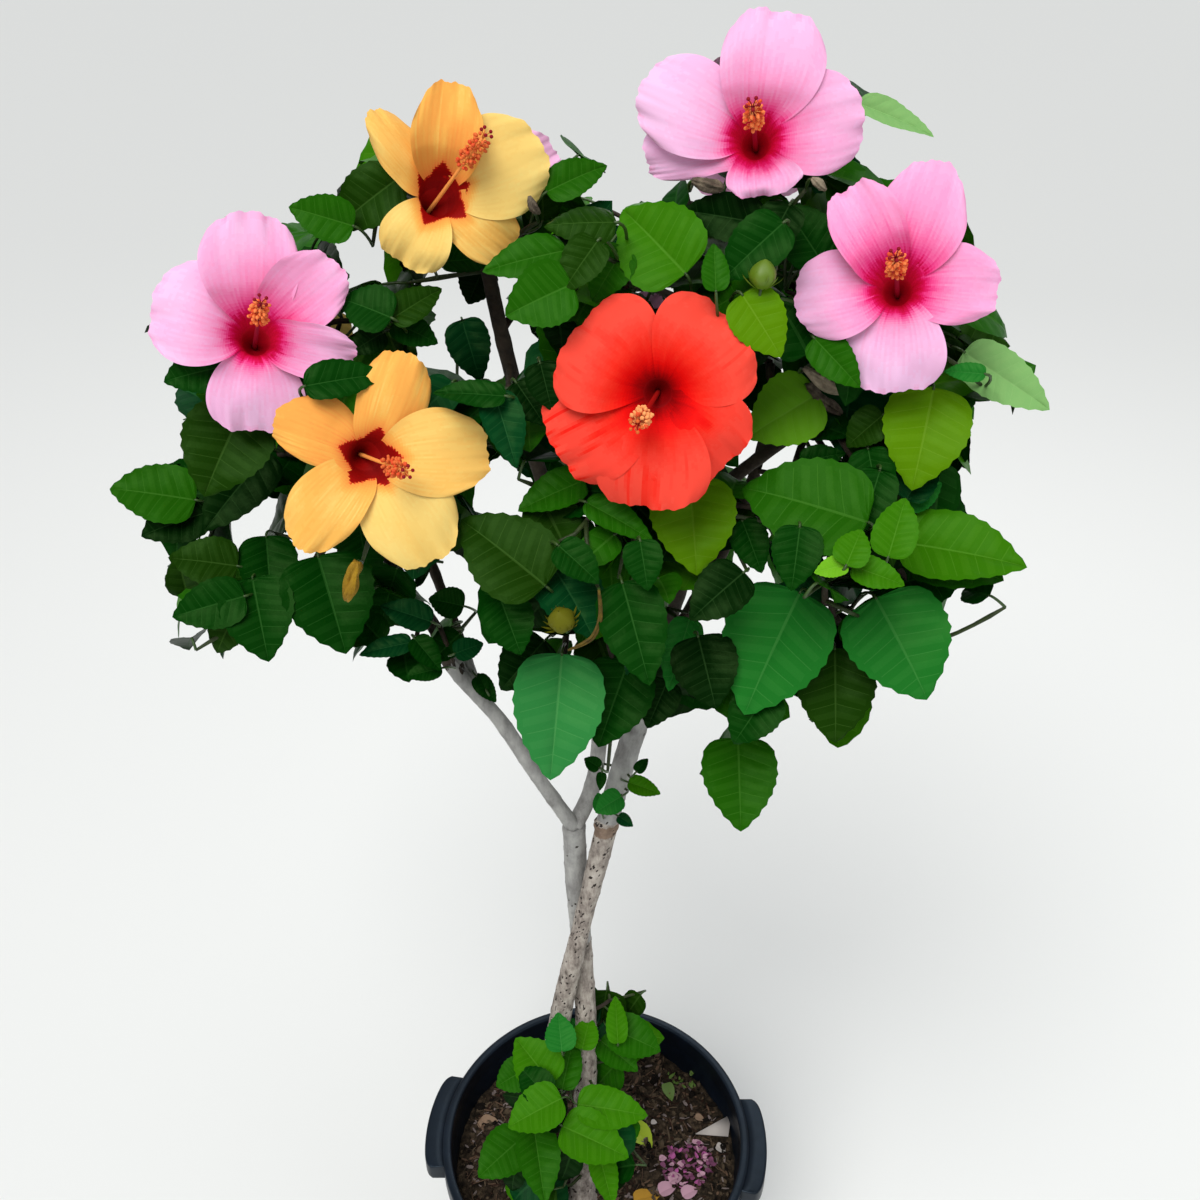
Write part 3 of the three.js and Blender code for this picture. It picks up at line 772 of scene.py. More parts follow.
def column(kind, centre, right, up, face, tip):
    """The bloom's column with its anthers and five stigmas; tip is its end in the bloom's own frame."""
    lean = right * tip[0] + up * tip[1]
    start = centre - face * (THROAT_DEPTH - 0.001) - lean * LEANS[kind]
    end = centre + lean + face * tip[2]
    bow = (start + end) / 2 + face * 0.004 - lean * 0.12
    at = np.linspace(0, 1, 14)[:, None]
    path = (1 - at) ** 2 * start + 2 * at * (1 - at) * bow + at ** 2 * end
    low_share, anther_count, thick = CLUSTERS[kind]
    points, faces = tube(path, np.linspace(thick, 0.65 * thick, 14), 8)
    STAMENS.add(points, faces, PILLARS[kind])
    along, across, over = ring_frames(path)
    for i in range(anther_count):
        share = low_share + (0.98 - low_share) * i / anther_count
        where = np.array([np.interp(share, at[:, 0], path[:, k]) for k in range(3)])
        ring = int(share * 13)
        turn = i * 2.4 + rng.uniform(-0.3, 0.3)
        out = across[ring] * math.cos(turn) + over[ring] * math.sin(turn)
        head = where + out * rng.uniform(0.0026, 0.0050) + along[ring] * rng.uniform(0.0002, 0.0018)
        knee = (where + head) / 2 + along[ring] * 0.0003
        STAMENS.add(*tube(np.array([where, knee, head]), 0.00020, 4), FILAMENT)
        kind_here = ANTHERS[kind] if rng.random() < 0.78 else ANTHER_DARK
        STAMENS.add(*ball(head, rng.uniform(0.00080, 0.00108), out * 1.35), kind_here)
    for i in range(5):
        turn = i * 2 * math.pi / 5 + 0.4
        out = across[-1] * math.cos(turn) + over[-1] * math.sin(turn)
        head = path[-1] + along[-1] * 0.0042 + out * 0.0032
        middle = path[-1] + along[-1] * 0.0024 + out * 0.0010
        STAMENS.add(*tube(np.array([path[-1] - along[-1] * 0.001, middle, head]), 0.00030, 4), PILLARS[kind])
        STAMENS.add(*ball(head, 0.00100), STIGMAS[kind])


def calyx(centre, right, up, face):
    """The green cup behind a bloom, with its narrow bracts."""
    sides, rows = 30, 9
    turn = turns(sides)
    s = np.linspace(0, 1, rows)[:, None]
    radius = 0.0022 + 0.0060 * np.sin(0.5 * math.pi * s ** 0.7) + 0.0016 * s ** 3 + 0 * turn[None, :]
    point_of = 0.0060 * np.abs(np.cos(2.5 * turn))[None, :] ** 0.8
    height = -CLAW_DEPTH - CALYX_BACK + (0.020 + point_of) * s
    points = np.stack([radius * np.cos(turn), radius * np.sin(turn), height], -1).reshape(-1, 3)
    CALYCES.add(frame_points(points, centre, right, up, face), quads(rows, sides, wrap=True), 0)
    for i in range(7):
        turn = i * 2 * math.pi / 7 + 0.2
        out = right * math.cos(turn) + up * math.sin(turn)
        base = centre - face * (CLAW_DEPTH + CALYX_BACK - 0.001) + out * 0.003
        points = bend(BRACT_BLADE.flat(0.16, i + 1.5, teeth=0.0), fold=0.3, droop=-0.3, curl=0.2)
        CALYCES.add(set_at(points, base, out * 0.8 + face * 0.75, face, 0.013), BRACT_BLADE.faces, 1)


def bloom(kind, centre, face, petals, tip, above=UP):
    """One open bloom: a petal is (angle in degrees, shape in metres, warmth), and above is its upper side."""
    face = unit(face)
    right = unit(np.cross(above, face))
    up = np.cross(face, right)
    seed = float(len(anchors) * 3.7 + 1.0)
    lean = -LEANS[kind] * (right * tip[0] + up * tip[1])
    for number, (angle, shape, warm) in enumerate(petals):
        points, deep, away, t, s = petal(shape, lean, RUFFLES[kind], seed + number * 1.9)
        a = math.radians(angle)
        e_r = right * math.cos(a) + up * math.sin(a)
        e_t = np.cross(face, e_r)
        world = centre + points[:, :1] * e_r + points[:, 1:2] * e_t + points[:, 2:] * face + deep
        faces = quads(PETAL_ROWS, PETAL_COLUMNS)
        PETALS[kind].add(world, faces, petal_tones(kind, away, t, s, seed + number, warm))
        mark_cover(world, faces)
        take_room(world)
    throat(kind, centre, right, up, face, lean)
    column(kind, centre, right, up, face, tip)
    calyx(centre + lean, right, up, face)
    stalk_end = centre + lean - face * (CLAW_DEPTH + 0.013)
    twig_end = stalk_end - face * 0.022 - UP * 0.012
    anchors.append({"at": twig_end, "kind": "bloom", "end": stalk_end, "face": face})
    keep_clear.append((centre, face, np.mean([p[1][0] for p in petals])))


def shown_bloom(kind, px, py, y, petals, tip):
    """A bloom of the photograph.

    A petal is its angle, and in pixels its length and the half widths on its counter-clockwise and
    clockwise sides, then in mm how far its end comes forward, how far it lies over its neighbours and
    how much its sides come forward, how square its end is, and how warm its colour is. The tip is where
    the column ends, in pixels, and its reach in mm.
    """
    centre = place(px, py, y)
    scale = float((centre - CAMERA) @ AHEAD) / FOCAL
    face = unit(CAMERA - centre)
    made = []
    for angle, length, left, right, lift, over, cup, square, warm in petals:
        shape = (length * scale, left * scale, right * scale, lift / 1000, over / 1000, cup / 1000, square)
        made.append((angle, shape, warm))
    bloom(kind, centre, face, made, (tip[0] * scale, tip[1] * scale, tip[2] / 1000), above=ABOVE)


shown_bloom("petals_pink", 256, 337, -0.085, [
    (90, 118, 56, 43, 4, 3, 2, 0.6, 0.7),
    (167, 100, 48, 58, 2, 0, 0, 0.7, 0.15),
    (270, 95, 51, 50, 0, -4, 0, 0.9, 0.1),
    (-7, 97, 24, 33, 12, 2, 2, 0.6, 0.3),
    (42, 109, 42, 34, 9, 1, 4, 0.6, 0.8)], (4, 30, 34))
shown_bloom("petals_yellow", 440, 196, -0.050, [
    (84, 106, 35, 39, 6, 4, 5, 0.3, 0.95),
    (131, 100, 27, 21, 6, 0, -4, 0.3, 0.45),
    (24, 114, 56, 48, 2, 0, 1, 0.5, 0),
    (-36, 87, 36, 31, 2, -3, 0, 0.8, 0.5),
    (240, 77, 38, 38, 0, 0, 0, 0.9, 0.1)], (40, 54, 26))
shown_bloom("petals_yellow", 370, 458, -0.130, [
    (71, 110, 34, 38, 5, 0, -3, 0.7, 0.85),
    (3, 119, 50, 43, 2, 3, 0, 0.5, 0.35),
    (-57, 123, 52, 49, 0, 0, 0, 0.5, 0.1),
    (233, 114, 32, 43, 2, 0, 1, 0.5, 0.55),
    (161, 99, 27, 46, 5, -2, -3, 0.4, 1.0)], (31, -11, 32))
shown_bloom("petals_pink", 755, 140, -0.060, [
    (82, 117, 45, 61, 2, 4, 0, 0.7, 0.45),
    (155, 125, 44, 52, 3, 0, 0, 0.6, 0),
    (187, 112, 27, 46, 0, -5, 0, 0.8, 0.1),
    (275, 53, 46, 33, 16, 3, 3, 0.7, 0),
    (9, 107, 54, 48, 3, -2, 2, 0.6, 0.5)], (-2, 28, 34))
shown_bloom("petals_pink", 897, 287, -0.100, [
    (72, 122, 44, 48, 3, 1, 2, 0.3, 1.0),
    (118, 108, 32, 40, 6, 4, 4, 0.8, 1.0),
    (184, 101, 46, 46, 2, 0, 0, 0.6, 0.35),
    (268, 105, 53, 54, 0, -4, 0, 0.8, 0),
    (-8, 98, 48, 34, 2, -2, 0, 0.5, 0.7)], (-1, 26, 34))
shown_bloom("petals_red", 657, 394, -0.128, [
    (143, 102, 66, 68, 3, 3, 0, 0.8, 0.20),
    (40, 101, 67, 62, 3, 2, 0, 0.8, 0.05),
    (-46, 101, 58, 66, 1, -1, 0, 0.9, 0.80),
    (266, 115, 62, 60, 0, 0, 0, 0.9, 0.35),
    (206, 117, 60, 62, 0, -2, 0, 0.9, 0.70)], (-18, -27, 26))
shown_bloom("petals_pink", 470, 206, -0.010, [
    (33, 102, 44, 24, 2, 0, 0, 0.4, 0),
    (96, 60, 34, 34, 2, 0, 0, 0.4, 0),
    (168, 48, 34, 34, 2, 0, 0, 0.4, 0),
    (240, 40, 30, 30, 2, 0, 0, 0.4, 0),
    (312, 42, 30, 30, 2, 0, 0, 0.4, 0)], (4, 10, 24))

HIDDEN_BLOOMS = [
    ("petals_pink", (0.102, 0.150, 1.146), (0.35, 1.0, 0.40)),
    ("petals_yellow", (-0.228, 0.122, 1.000), (-0.65, 1.0, 0.25)),
    ("petals_red", (0.205, 0.118, 1.045), (0.55, 1.0, 0.25)),
    ("petals_pink", (0.040, 0.198, 0.970), (-0.10, 1.0, 0.10)),
]
HALF_WIDTHS = {"petals_pink": 0.032, "petals_yellow": 0.028, "petals_red": 0.037}
for kind, centre, face in HIDDEN_BLOOMS:
    made = []
    for i in range(5):
        wide = HALF_WIDTHS[kind]
        shape = (rng.uniform(0.050, 0.057), wide * rng.uniform(0.9, 1.1), wide * rng.uniform(0.9, 1.1),
                 rng.uniform(0.001, 0.008), rng.uniform(-0.002, 0.002), rng.uniform(-0.001, 0.003),
                 rng.uniform(0.4, 0.9))
        made.append((104 + 72 * i + rng.uniform(-5, 5), shape, rng.uniform(0, 0.5)))
    bloom(kind, np.array(centre), face, made, (0.004, 0.012, 0.034))


def blocks_bloom(points):
    """True if points lie in front of an open bloom."""
    for centre, face, size in keep_clear:
        gap = points - centre
        ahead = gap @ face
        away = np.linalg.norm(gap - ahead[:, None] * face, axis=1)
        if ((ahead > -0.012) & (ahead < 0.09) & (away < 0.85 * size)).any():
            return True
    return False


# Leaves
REGIONS = {f"leaves_{where}": [] for where in ("left", "right", "back_left", "back_right", "foot")}


def region_of(name):
    if "foot" in name:
        return "leaves_foot"
    hand = "left" if CENTRES[foliage_names.index(name)][0] < 0 else "right"
    return ("leaves_back_" if "back" in name else "leaves_") + hand


for name in foliage_names:
    REGIONS[region_of(name)].append(name)
LEAVES = {region: Sheaf() for region in REGIONS}


def add_leaf(form, points, shade, owner):
    kinds = form.kinds + 3 * SHADES.index(shade)
    LEAVES[region_of(foliage_names[owner])].add(points, form.faces, kinds)
    take_room(points)


# Leaves that stand out in the photograph: base and tip in its pixels, width share and shade, and for some how
# far it stands in front of its mass in mm, how far it looks up, its fold and how far it turns to the right.
SHOWN = [
    (196, 500, 108, 486, 0.78, "mid"),
    (207, 512, 140, 534, 0.75, "deep", -6, 0.4),
    (243, 408, 202, 494, 0.95, "olive", 0, 0.3, 0.15, -0.2),
    (268, 452, 203, 528, 0.62, "deep", -8, 0.4, 0.25),
    (238, 566, 168, 556, 0.8, "olive", 4, 0.5),
    (245, 596, 171, 616, 0.72, "dark", 0, 0.2, 0.1),
    (252, 578, 268, 660, 0.88, "dark", 4, 0.3, 0.25),
    (266, 536, 272, 612, 0.75, "dark"),
    (318, 556, 346, 652, 0.92, "dark", 2),
    (304, 386, 385, 371, 0.52, "dark", 8, 0.5),
    (224, 366, 163, 380, 0.8, "dark", -4),
    (354, 226, 288, 206, 0.72, "mid", 0, 0.2),
    (398, 178, 334, 226, 0.8, "olive", -18, 0.4, 0.2, -0.2),
    (392, 318, 340, 296, 0.95, "dark", 0, 0.6),
    (390, 320, 442, 286, 0.6, "olive", 2, 0.5),
    (392, 322, 438, 342, 0.7, "dark", 0, 0.4),
    (384, 332, 350, 352, 0.8, "deep", -4, 0.4),
    (484, 266, 468, 304, 1, "deep", -4, 0.2),
    (566, 250, 482, 268, 0.54, "mid", 6, 0.7, 0.1),
    (572, 284, 505, 314, 0.92, "mid", 6, 0.5),
    (462, 320, 480, 380, 0.72, "teal"),
    (506, 396, 432, 390, 0.42, "dark", 0, 0.6),
    (494, 392, 517, 466, 0.56, "teal", 2, 0.4),
    (516, 382, 545, 424, 0.8, "deep", -4, 0.4),
    (440, 262, 500, 256, 0.5, "dark", -6, 0.5),
    (540, 362, 552, 410, 0.8, "deep", -8),
    (546, 192, 607, 162, 0.62, "mid", 0, 0.5, 0.25),
    (616, 222, 544, 222, 0.62, "olive", 2, 1, -0.2),
    (600, 238, 548, 236, 0.5, "deep", -8),
    (624, 248, 592, 300, 0.78, "mid", -26, 0.4),
    (598, 240, 562, 290, 0.75, "olive", -2, 0.4),
    (686, 274, 622, 206, 0.98, "bright", -18, 0.3, 0.18),
    (764, 224, 680, 208, 0.58, "deep", -24),
    (790, 204, 764, 252, 0.9, "deep", -22),
    (716, 292, 714, 242, 0.6, "mid", 6),
    (784, 222, 722, 278, 0.72, "dark", -4),
    (822, 262, 782, 200, 0.8, "dark", -34, 0.2),
    (742, 294, 782, 356, 0.8, "lime", 10, 0.3, 0.15, 0.1),
    # This leaf takes a lighter shade than its own: painted light against the shadow that falls on it.
    (818, 394, 746, 436, 0.94, "fresh", 40, 0.5, 0.12, -0.1),
    (814, 338, 860, 386, 0.62, "mid", -2),
    (884, 414, 846, 446, 0.85, "olive", -4),
    (800, 526, 792, 590, 0.8, "dark", 2),
    (742, 520, 762, 572, 0.7, "dark", -2),
    (744, 572, 690, 618, 0.8, "deep", -4),
    (716, 566, 706, 618, 0.8, "dark", -8),
    (880, 470, 862, 530, 0.75, "dark", -2),
    (906, 500, 936, 448, 0.7, "teal", -6),
    (800, 462, 846, 452, 0.6, "dark", -6),
    (858, 103, 935, 132, 0.38, "pale", 0, 0.9, 0.35),
    (964, 352, 1050, 408, 0.52, "pale", 0, 0.2, 0.12),
    (986, 374, 944, 370, 0.52, "jade"),
    (934, 388, 913, 488, 0.84, "lime", 6, 0.3, 0.1, 0.1),
    (904, 504, 942, 482, 0.8, "jade"),
    (868, 448, 880, 512, 0.7, "dark"),
    (888, 558, 906, 496, 0.72, "bright", 10),
    (902, 542, 1028, 562, 0.68, "bright", 4, 0.5, 0.3),
    (846, 566, 862, 528, 0.9, "bright", 14),
    (848, 564, 814, 572, 0.7, "fresh", 14, 0.4, 0.3),
    (852, 566, 905, 584, 0.62, "bright", 14, 0.5),
    (868, 522, 741, 482, 0.78, "mid", 6, 0.5, 0.12),
    (876, 598, 930, 698, 0.98, "jade", 4, 0.3, 0.15, 0.1),
    (835, 648, 836, 743, 0.86, "olive", 2, 0.2, 0.15),
    (800, 592, 742, 714, 0.84, "jade", 8, 0.3, 0.25, -0.1),
    (738, 738, 741, 830, 0.84, "mid", 2),
    (770, 690, 733, 744, 0.85, "dark", -4, 0.2),
    # This leaf takes a lighter shade than its own: painted light against the shadow that falls on it.
    (690, 480, 697, 573, 0.92, "lime", -6, 0.4),
    (586, 502, 654, 538, 0.46, "mid", -8, 0.8),
    (584, 480, 518, 508, 0.62, "mid", 2, 0.5),
    (546, 586, 461, 516, 0.82, "olive", 4, 0.4, 0.15),
    (500, 598, 521, 654, 0.9, "dark"),
    (545, 640, 500, 690, 0.85, "deep", -6, 0.2),
    (562, 654, 551, 780, 0.76, "mint", 6, 0.3, 0.28),
    (622, 582, 650, 684, 0.66, "dark", 4),
    (690, 618, 668, 690, 0.52, "jade"),
    (558, 545, 600, 582, 0.72, "dark", -2, 0.4),
    (640, 540, 648, 590, 0.8, "dark", -2),
    (628, 662, 598, 746, 0.85, "dark", -4, 0.2),
    (698, 636, 716, 708, 0.92, "deep", 0, 0.2),
    (668, 680, 647, 728, 0.8, "deep", -4, 0.2),
    (412, 642, 358, 653, 0.46, "teal", 0, 0.5),
    (432, 622, 380, 604, 0.6, "teal"),
    (464, 606, 428, 598, 0.9, "dark"),
    (414, 638, 441, 670, 0.66, "dark", 2),
    (442, 668, 405, 676, 0.62, "dark", 0, 0.6),
    (454, 654, 484, 642, 0.75, "teal", 0, 0.4),
    (552, 1084, 516, 1038, 0.92, "bright", 0, 0.1, 0.3, 0.1),
    (556, 1060, 574, 1018, 0.66, "jade", 0, 0, 0.3),
    (562, 1090, 574, 1036, 0.62, "mid", 0, 0.1, 0.3),
    (582, 1050, 590, 1016, 0.85, "bright", 34),
    (618, 1044, 615, 995, 0.52, "bright", 0, 0, 0.4),
    (610, 1028, 661, 1050, 0.8, "mid", 0, 0.6),
    (600, 1040, 638, 1070, 0.7, "mid", 0, 0.6),
    (577, 1104, 648, 1114, 0.6, "bright", 0, 0.6, 0.12),
    (562, 1098, 507, 1126, 0.8, "bright", 0, 0.6),
    (524, 1136, 478, 1176, 0.85, "mid", 0, 0.8),
    (534, 1128, 545, 1202, 0.66, "mid", 0, 0.8, 0.25),
    (562, 1126, 629, 1156, 0.74, "bright", 2, 0.8, 0.3),
    (598, 1150, 613, 1206, 0.55, "bright", 0, 0.8, 0.3),
    (528, 1068, 496, 1086, 1, "mid", -6),
    (562, 1052, 558, 1012, 0.85, "jade", -4, 0.2),
    (622, 796, 595, 812, 0.85, "jade", -10),
    (602, 812, 598, 792, 0.8, "jade", -20),
    (628, 782, 661, 793, 0.6, "bright", -24, 0.5),
    (636, 772, 648, 758, 0.7, "dark", -28),
    (600, 768, 584, 758, 0.85, "dark", -28),
    (602, 772, 600, 790, 0.6, "dark", -24),
    (618, 816, 633, 826, 0.75, "teal", -24),
    (476, 676, 496, 702, 0.6, "dark", -20),
    (486, 690, 478, 672, 0.6, "dark", -20),
    (548, 1098, 520, 1066, 0.85, "dark", -8),
]


def shown_depth(px, py):
    """Where the sight line through a pixel meets the foliage, if it does."""
    where = CROWN.ray_cast(Vector(CAMERA), Vector(unit(sight(px, py))))[0]
    return None if where is None else np.array(where)


def shown_leaf(number, bx, by, tx, ty, ratio, shade, proud=0, looks_up=0.3, fold=0.2, turned=0.0):
    """A leaf of the photograph, on the plane through its place in the foliage that its normal gives."""
    hits = [shown_depth(bx + (tx - bx) * k, by + (ty - by) * k) for k in (0.5, 0.3, 0.7, 0.1, 0.9)]
    hits = [h for h in hits if h is not None]
    middle = hits[0] if hits else place((bx + tx) / 2, (by + ty) / 2, -0.04)
    middle = middle - unit(middle - CAMERA) * proud / 1000
    normal = unit(unit(CAMERA - middle) + UP * looks_up + SIDE * turned + rng.normal(0, 0.06, 3))
    ends = []
    for px, py in ((bx, by), (tx, ty)):
        ray = sight(px, py)
        ends.append(CAMERA + ray * ((middle - CAMERA) @ normal) / (ray @ normal))
    base, tip = ends
    length = float(np.linalg.norm(tip - base))
    points = bend(FINE_BLADE.flat(ratio, number * 1.3), fold=fold, droop=0.10, curl=0.25,
                  twist=rng.uniform(-0.2, 0.2))
    points[:, 1] /= points[:, 1].max()
    points = set_at(points, base, tip - base, normal, length)
    add_leaf(FINE_BLADE, points, shade, outside(middle)[1])
    mark_cover(points, FINE_BLADE.faces)
    heading = unit(tip - base)
    back = base - heading * 0.006 + AHEAD * (0.020 + max(proud, 0) / 1000) - UP * 0.003
    anchors.append({"at": back, "kind": "leaf", "end": base, "face": heading})


for number, row in enumerate(SHOWN):
    shown_leaf(number, *row)

# Buds, spent blooms and withered parts of the photograph
REMNANTS = Sheaf()
BUD_GREEN, BUD_OCHRE, WITHERED, WITHERED_PALE, FADED, WITHERED_STALK = range(6)


def bud(px, py, width, kind, axis, spikes=9):
    """A closed bud, as wide as so many pixels, in its bracts."""
    centre = shown_depth(px, py) - AHEAD * 0.004
    size = width / 2 * float((centre - CAMERA) @ AHEAD) / FOCAL
    axis = unit(axis)
    side = unit(np.cross(axis, AHEAD))
    third = np.cross(axis, side)
    turn = turns(20)[None, :]
    s = np.linspace(0.02, 1, 14)[:, None]
    radius = size * np.sin(math.pi * s ** 0.85) ** 0.7 * (1 + 0.07 * np.cos(5 * turn + 2 * s)) + 0.0003
    points = centre + (radius * np.cos(turn))[..., None] * side + (radius * np.sin(turn))[..., None] * third
    points = points + ((s - 0.45) * 2.3 * size + 0 * turn)[..., None] * axis
    REMNANTS.add(points.reshape(-1, 3), quads(14, 20, wrap=True), kind)
    foot = centre - axis * size
    for i in range(spikes):
        out = side * math.cos(i * 2.4) + third * math.sin(i * 2.4)
        points = bend(BRACT_BLADE.flat(0.16, i + 0.5, teeth=0.0), fold=0.4, droop=-0.3, curl=-0.5)
        heading = out * 0.9 + axis * (0.4 + 0.25 * (i % 4))
        points = set_at(points, foot + out * size * 0.4, heading, axis, size * 1.7)
        REMNANTS.add(points, BRACT_BLADE.faces, kind)
    anchors.append({"at": foot - axis * 0.006 + AHEAD * 0.014, "kind": "leaf", "end": foot, "face": axis})


def withered(pixels, width, kind, behind=0.0, seed=1.0):
    """A shrivelled corolla that hangs along a line of pixels."""
    start = shown_depth(*pixels[0])
    depth = place(*pixels[0], -0.05)[1] if start is None else start[1]
    path = curve_through([place(px, py, depth + behind) for px, py in pixels], 0.0022)
    size = width / 2 * float((path[0] - CAMERA) @ AHEAD) / FOCAL
    s = np.linspace(0, 1, len(path))[:, None]
    turn = turns(30)[None, :]
    x, y, z = np.cos(turn) + 0 * s, np.sin(turn) + 0 * s, s + 0 * turn
    folds = noise(np.stack([x * 2.2 + seed, y * 2.2, 2.5 * z], -1))
    pleats = np.abs(noise(np.stack([3.5 * x + seed, 3.5 * y + seed, 1.4 * z], -1)))
    radius = size * (0.15 + np.sin(math.pi * np.clip(s * 0.92 + 0.04, 0, 1)) ** 0.6)
    radius = radius * (0.72 + 0.55 * folds + 1.1 * pleats)
    REMNANTS.add(*tube(path, radius, 30), kind)
    heading = unit(path[1] - path[0])
    anchors.append({"at": path[0] + AHEAD * 0.016, "kind": "leaf", "end": path[1], "face": heading})


bud(762, 278, 26, BUD_GREEN, ABOVE * 0.9 - AHEAD * 0.5 + SIDE * 0.1)
bud(562, 620, 26, BUD_OCHRE, ABOVE * 0.6 - AHEAD * 0.9 - SIDE * 0.2, spikes=16)
withered([(599, 590), (601, 616), (592, 638), (568, 650)], 4, WITHERED_STALK)
withered([(800, 372), (816, 384), (832, 392), (850, 412)], 22, WITHERED, seed=4.0)
withered([(804, 368), (822, 380), (846, 392)], 9, WITHERED_PALE, behind=-0.008, seed=7.0)
withered([(808, 384), (820, 398), (842, 414)], 8, WITHERED, behind=-0.010, seed=11.0)
withered([(692, 180), (708, 184), (724, 188)], 8, WITHERED, behind=0.010, seed=2.0)
withered([(812, 178), (818, 184), (826, 190)], 8, WITHERED_PALE, behind=0.010, seed=5.0)
withered([(356, 562), (353, 578), (347, 600)], 13, FADED, seed=9.0)
withered([(529, 196), (532, 206), (540, 214)], 6, WITHERED, seed=3.0)
REMNANTS.build("buds", [
    material("bud_green", "#587408", rough=0.5),
    material("bud_ochre", "#5e5e10", rough=0.6, specular=0.1),
    mottled("withered", [(0.3, "#332a20"), (0.5, "#5d5244"), (0.7, "#8a7d68")], 220.0, rough=0.9, bump=0.6),
    mottled("withered_pale", [(0.3, "#6d6250"), (0.7, "#a99c84")], 220.0, rough=0.9, bump=0.6),
    mottled("faded_petal", [(0.3, "#7c5a08"), (0.7, "#a8820e")], 180.0, rough=0.8),
    mottled("withered_stalk", [(0.3, "#3a2c08"), (0.7, "#6e5810")], 220.0, rough=0.8),
], "leaves")

# The stretches of the stems that no leaf hides: stem, and heights between which it is seen.
BARE_STEMS = [("stem_left", 0.213, 0.238), ("stem_left", 0.345, 0.640), ("stem_right", 0.36, 0.735)]
STEM_HALF = 0.006
for name, low_end, high_end in BARE_STEMS:
    path = curve_through(STEMS[name][0], 0.003)
    path = path[(path[:, 2] > low_end) & (path[:, 2] < high_end)]
    for aside in (-STEM_HALF, 0, STEM_HALF):
        row, column, depth = cells_of(path + SIDE * aside)
        np.minimum.at(cover, (row, column), depth)
mask = crown_mask()
carpet = np.zeros(cover.shape, bool)
# Mostly dark greens: painted shade for the leaves seen between the front leaves, inside the crown.
CARPET_SHADES = ["dark", "dark", "deep", "mid", "mid", "olive", "teal", "dark"]
CARPET_TRIES, FULL_TRIES = 8, 4
SMALL_SHARE = 0.62
SUNNY_HEIGHT = 1.09
MOST_BEYOND, MOST_CROWDING = 0.04, 0.25


def fill_cell(row, column):
    """Puts a leaf just behind the skin of the foliage, where one is seen at a cell."""
    ray = unit(sight((column + 0.5) * CELL, (row + 0.5) * CELL))
    where = LEAFY.ray_cast(Vector(CAMERA), Vector(ray))[0]
    if where is None:
        return
    for attempt in range(CARPET_TRIES):
        small = SMALL_SHARE if attempt >= FULL_TRIES else 1
        length = rng.uniform(0.044, 0.068) * small
        middle = np.array(where) + ray * rng.uniform(0.004, 0.030)
        outward = unit((middle - CROWN_MIDDLE) * (1, 0.5, 1))
        heading = unit(outward * 0.5 - UP * 0.45 + rng.normal(0, 0.55, 3))
        normal = unit(UP * 0.55 - ray * 0.75 + rng.normal(0, 0.22, 3))
        if abs(heading @ normal) > 0.75:
            continue
        form = SMALL_BLADE if small < 1 else FINE_BLADE
        points = bend(form.flat(rng.uniform(0.66, 0.9), rng.uniform(0, 50)), fold=rng.uniform(0.05, 0.3),
                      droop=rng.uniform(0, 0.5), curl=rng.uniform(0, 0.4), twist=rng.uniform(-0.2, 0.2))
        base = middle - heading * length * 0.45
        points = set_at(points, base, heading, normal, length)
        probe = points[form.outline]
        if seen_outside(probe, mask) > MOST_BEYOND or in_daylight(points, 0.001):
            continue
        if covers_shown(points) or blocks_bloom(probe) or crowding(points) > MOST_CROWDING:
            continue
        shade = CARPET_SHADES[rng.integers(len(CARPET_SHADES))]
        # Leaves high in the crown more often take a lighter green: painted sunlight on the crown's top.
        if middle[2] > SUNNY_HEIGHT and rng.random() < 0.4:
            shade = "mid"
        add_leaf(form, points, shade, outside(points.mean(0))[1])
        row_seen, column_seen, _ = cells_of(np.vstack([points, points[form.faces].mean(1)]))
        carpet[row_seen, column_seen] = True
        behind = base - heading * 0.010 - normal * 0.012
        anchors.append({"at": behind, "kind": "leaf", "end": base, "face": heading})
        return


for cell in rng.permutation(mask.size):
    row, column = divmod(int(cell), mask.shape[1])
    if mask[row, column] and not carpet[row, column] and not np.isfinite(cover[row, column]):
        fill_cell(row, column)
print(len(anchors), "anchors after the carpet")

# Places inside the masses for the leaves that the rule grows
SPRAY_GAP = 0.024
SPRAYS_TRIED = 30000
DEEPEST, SHALLOWEST = -0.034, -0.006
low = np.array([list(b[0]) for b in BOXES.values()]).min(0)
high = np.array([list(b[1]) for b in BOXES.values()]).max(0)
sprays = []
for point in rng.uniform(low, high, (SPRAYS_TRIED, 3)):
    if sprays and np.min(np.linalg.norm(np.array(sprays) - point, axis=1)) < SPRAY_GAP:
        continue
    depth, owner = outside(point)
    if seen_outside(point[None], mask) > 0:
        continue
    free = not in_daylight(point[None], -0.004) and not blocks_bloom(point[None])
    if DEEPEST < depth < SHALLOWEST and free:
        sprays.append(point)
        anchors.append({"at": point, "kind": "spray", "owner": owner})
print(len(sprays), "sprays")

# Twigs: every anchor is joined to the nearest limb or twig, with a charge for the way back to the limb
TWIG_STEP = 0.010
DETOUR = 0.35
TWIG_CLEARANCE = 0.02
SMOOTHINGS = 12
PULL, ANCHOR_PULL = 0.5, 0.35
HIDING_GAP, DEEPEST_HIDING = 0.006, 0.07
LIMBS = {**STEMS, **BOUGHS}
nodes = []
for route, _ in LIMBS.values():
    path = curve_through(route)
    nodes += list(path[path[:, 2] > SOIL_LEVEL + TWIG_CLEARANCE][::2])
limb_count = len(nodes)
parent = [-1] * limb_count
charge = [0.0] * limb_count
targets = np.array([a["at"] for a in anchors])
best = np.full(len(targets), np.inf)
best_node = np.zeros(len(targets), int)


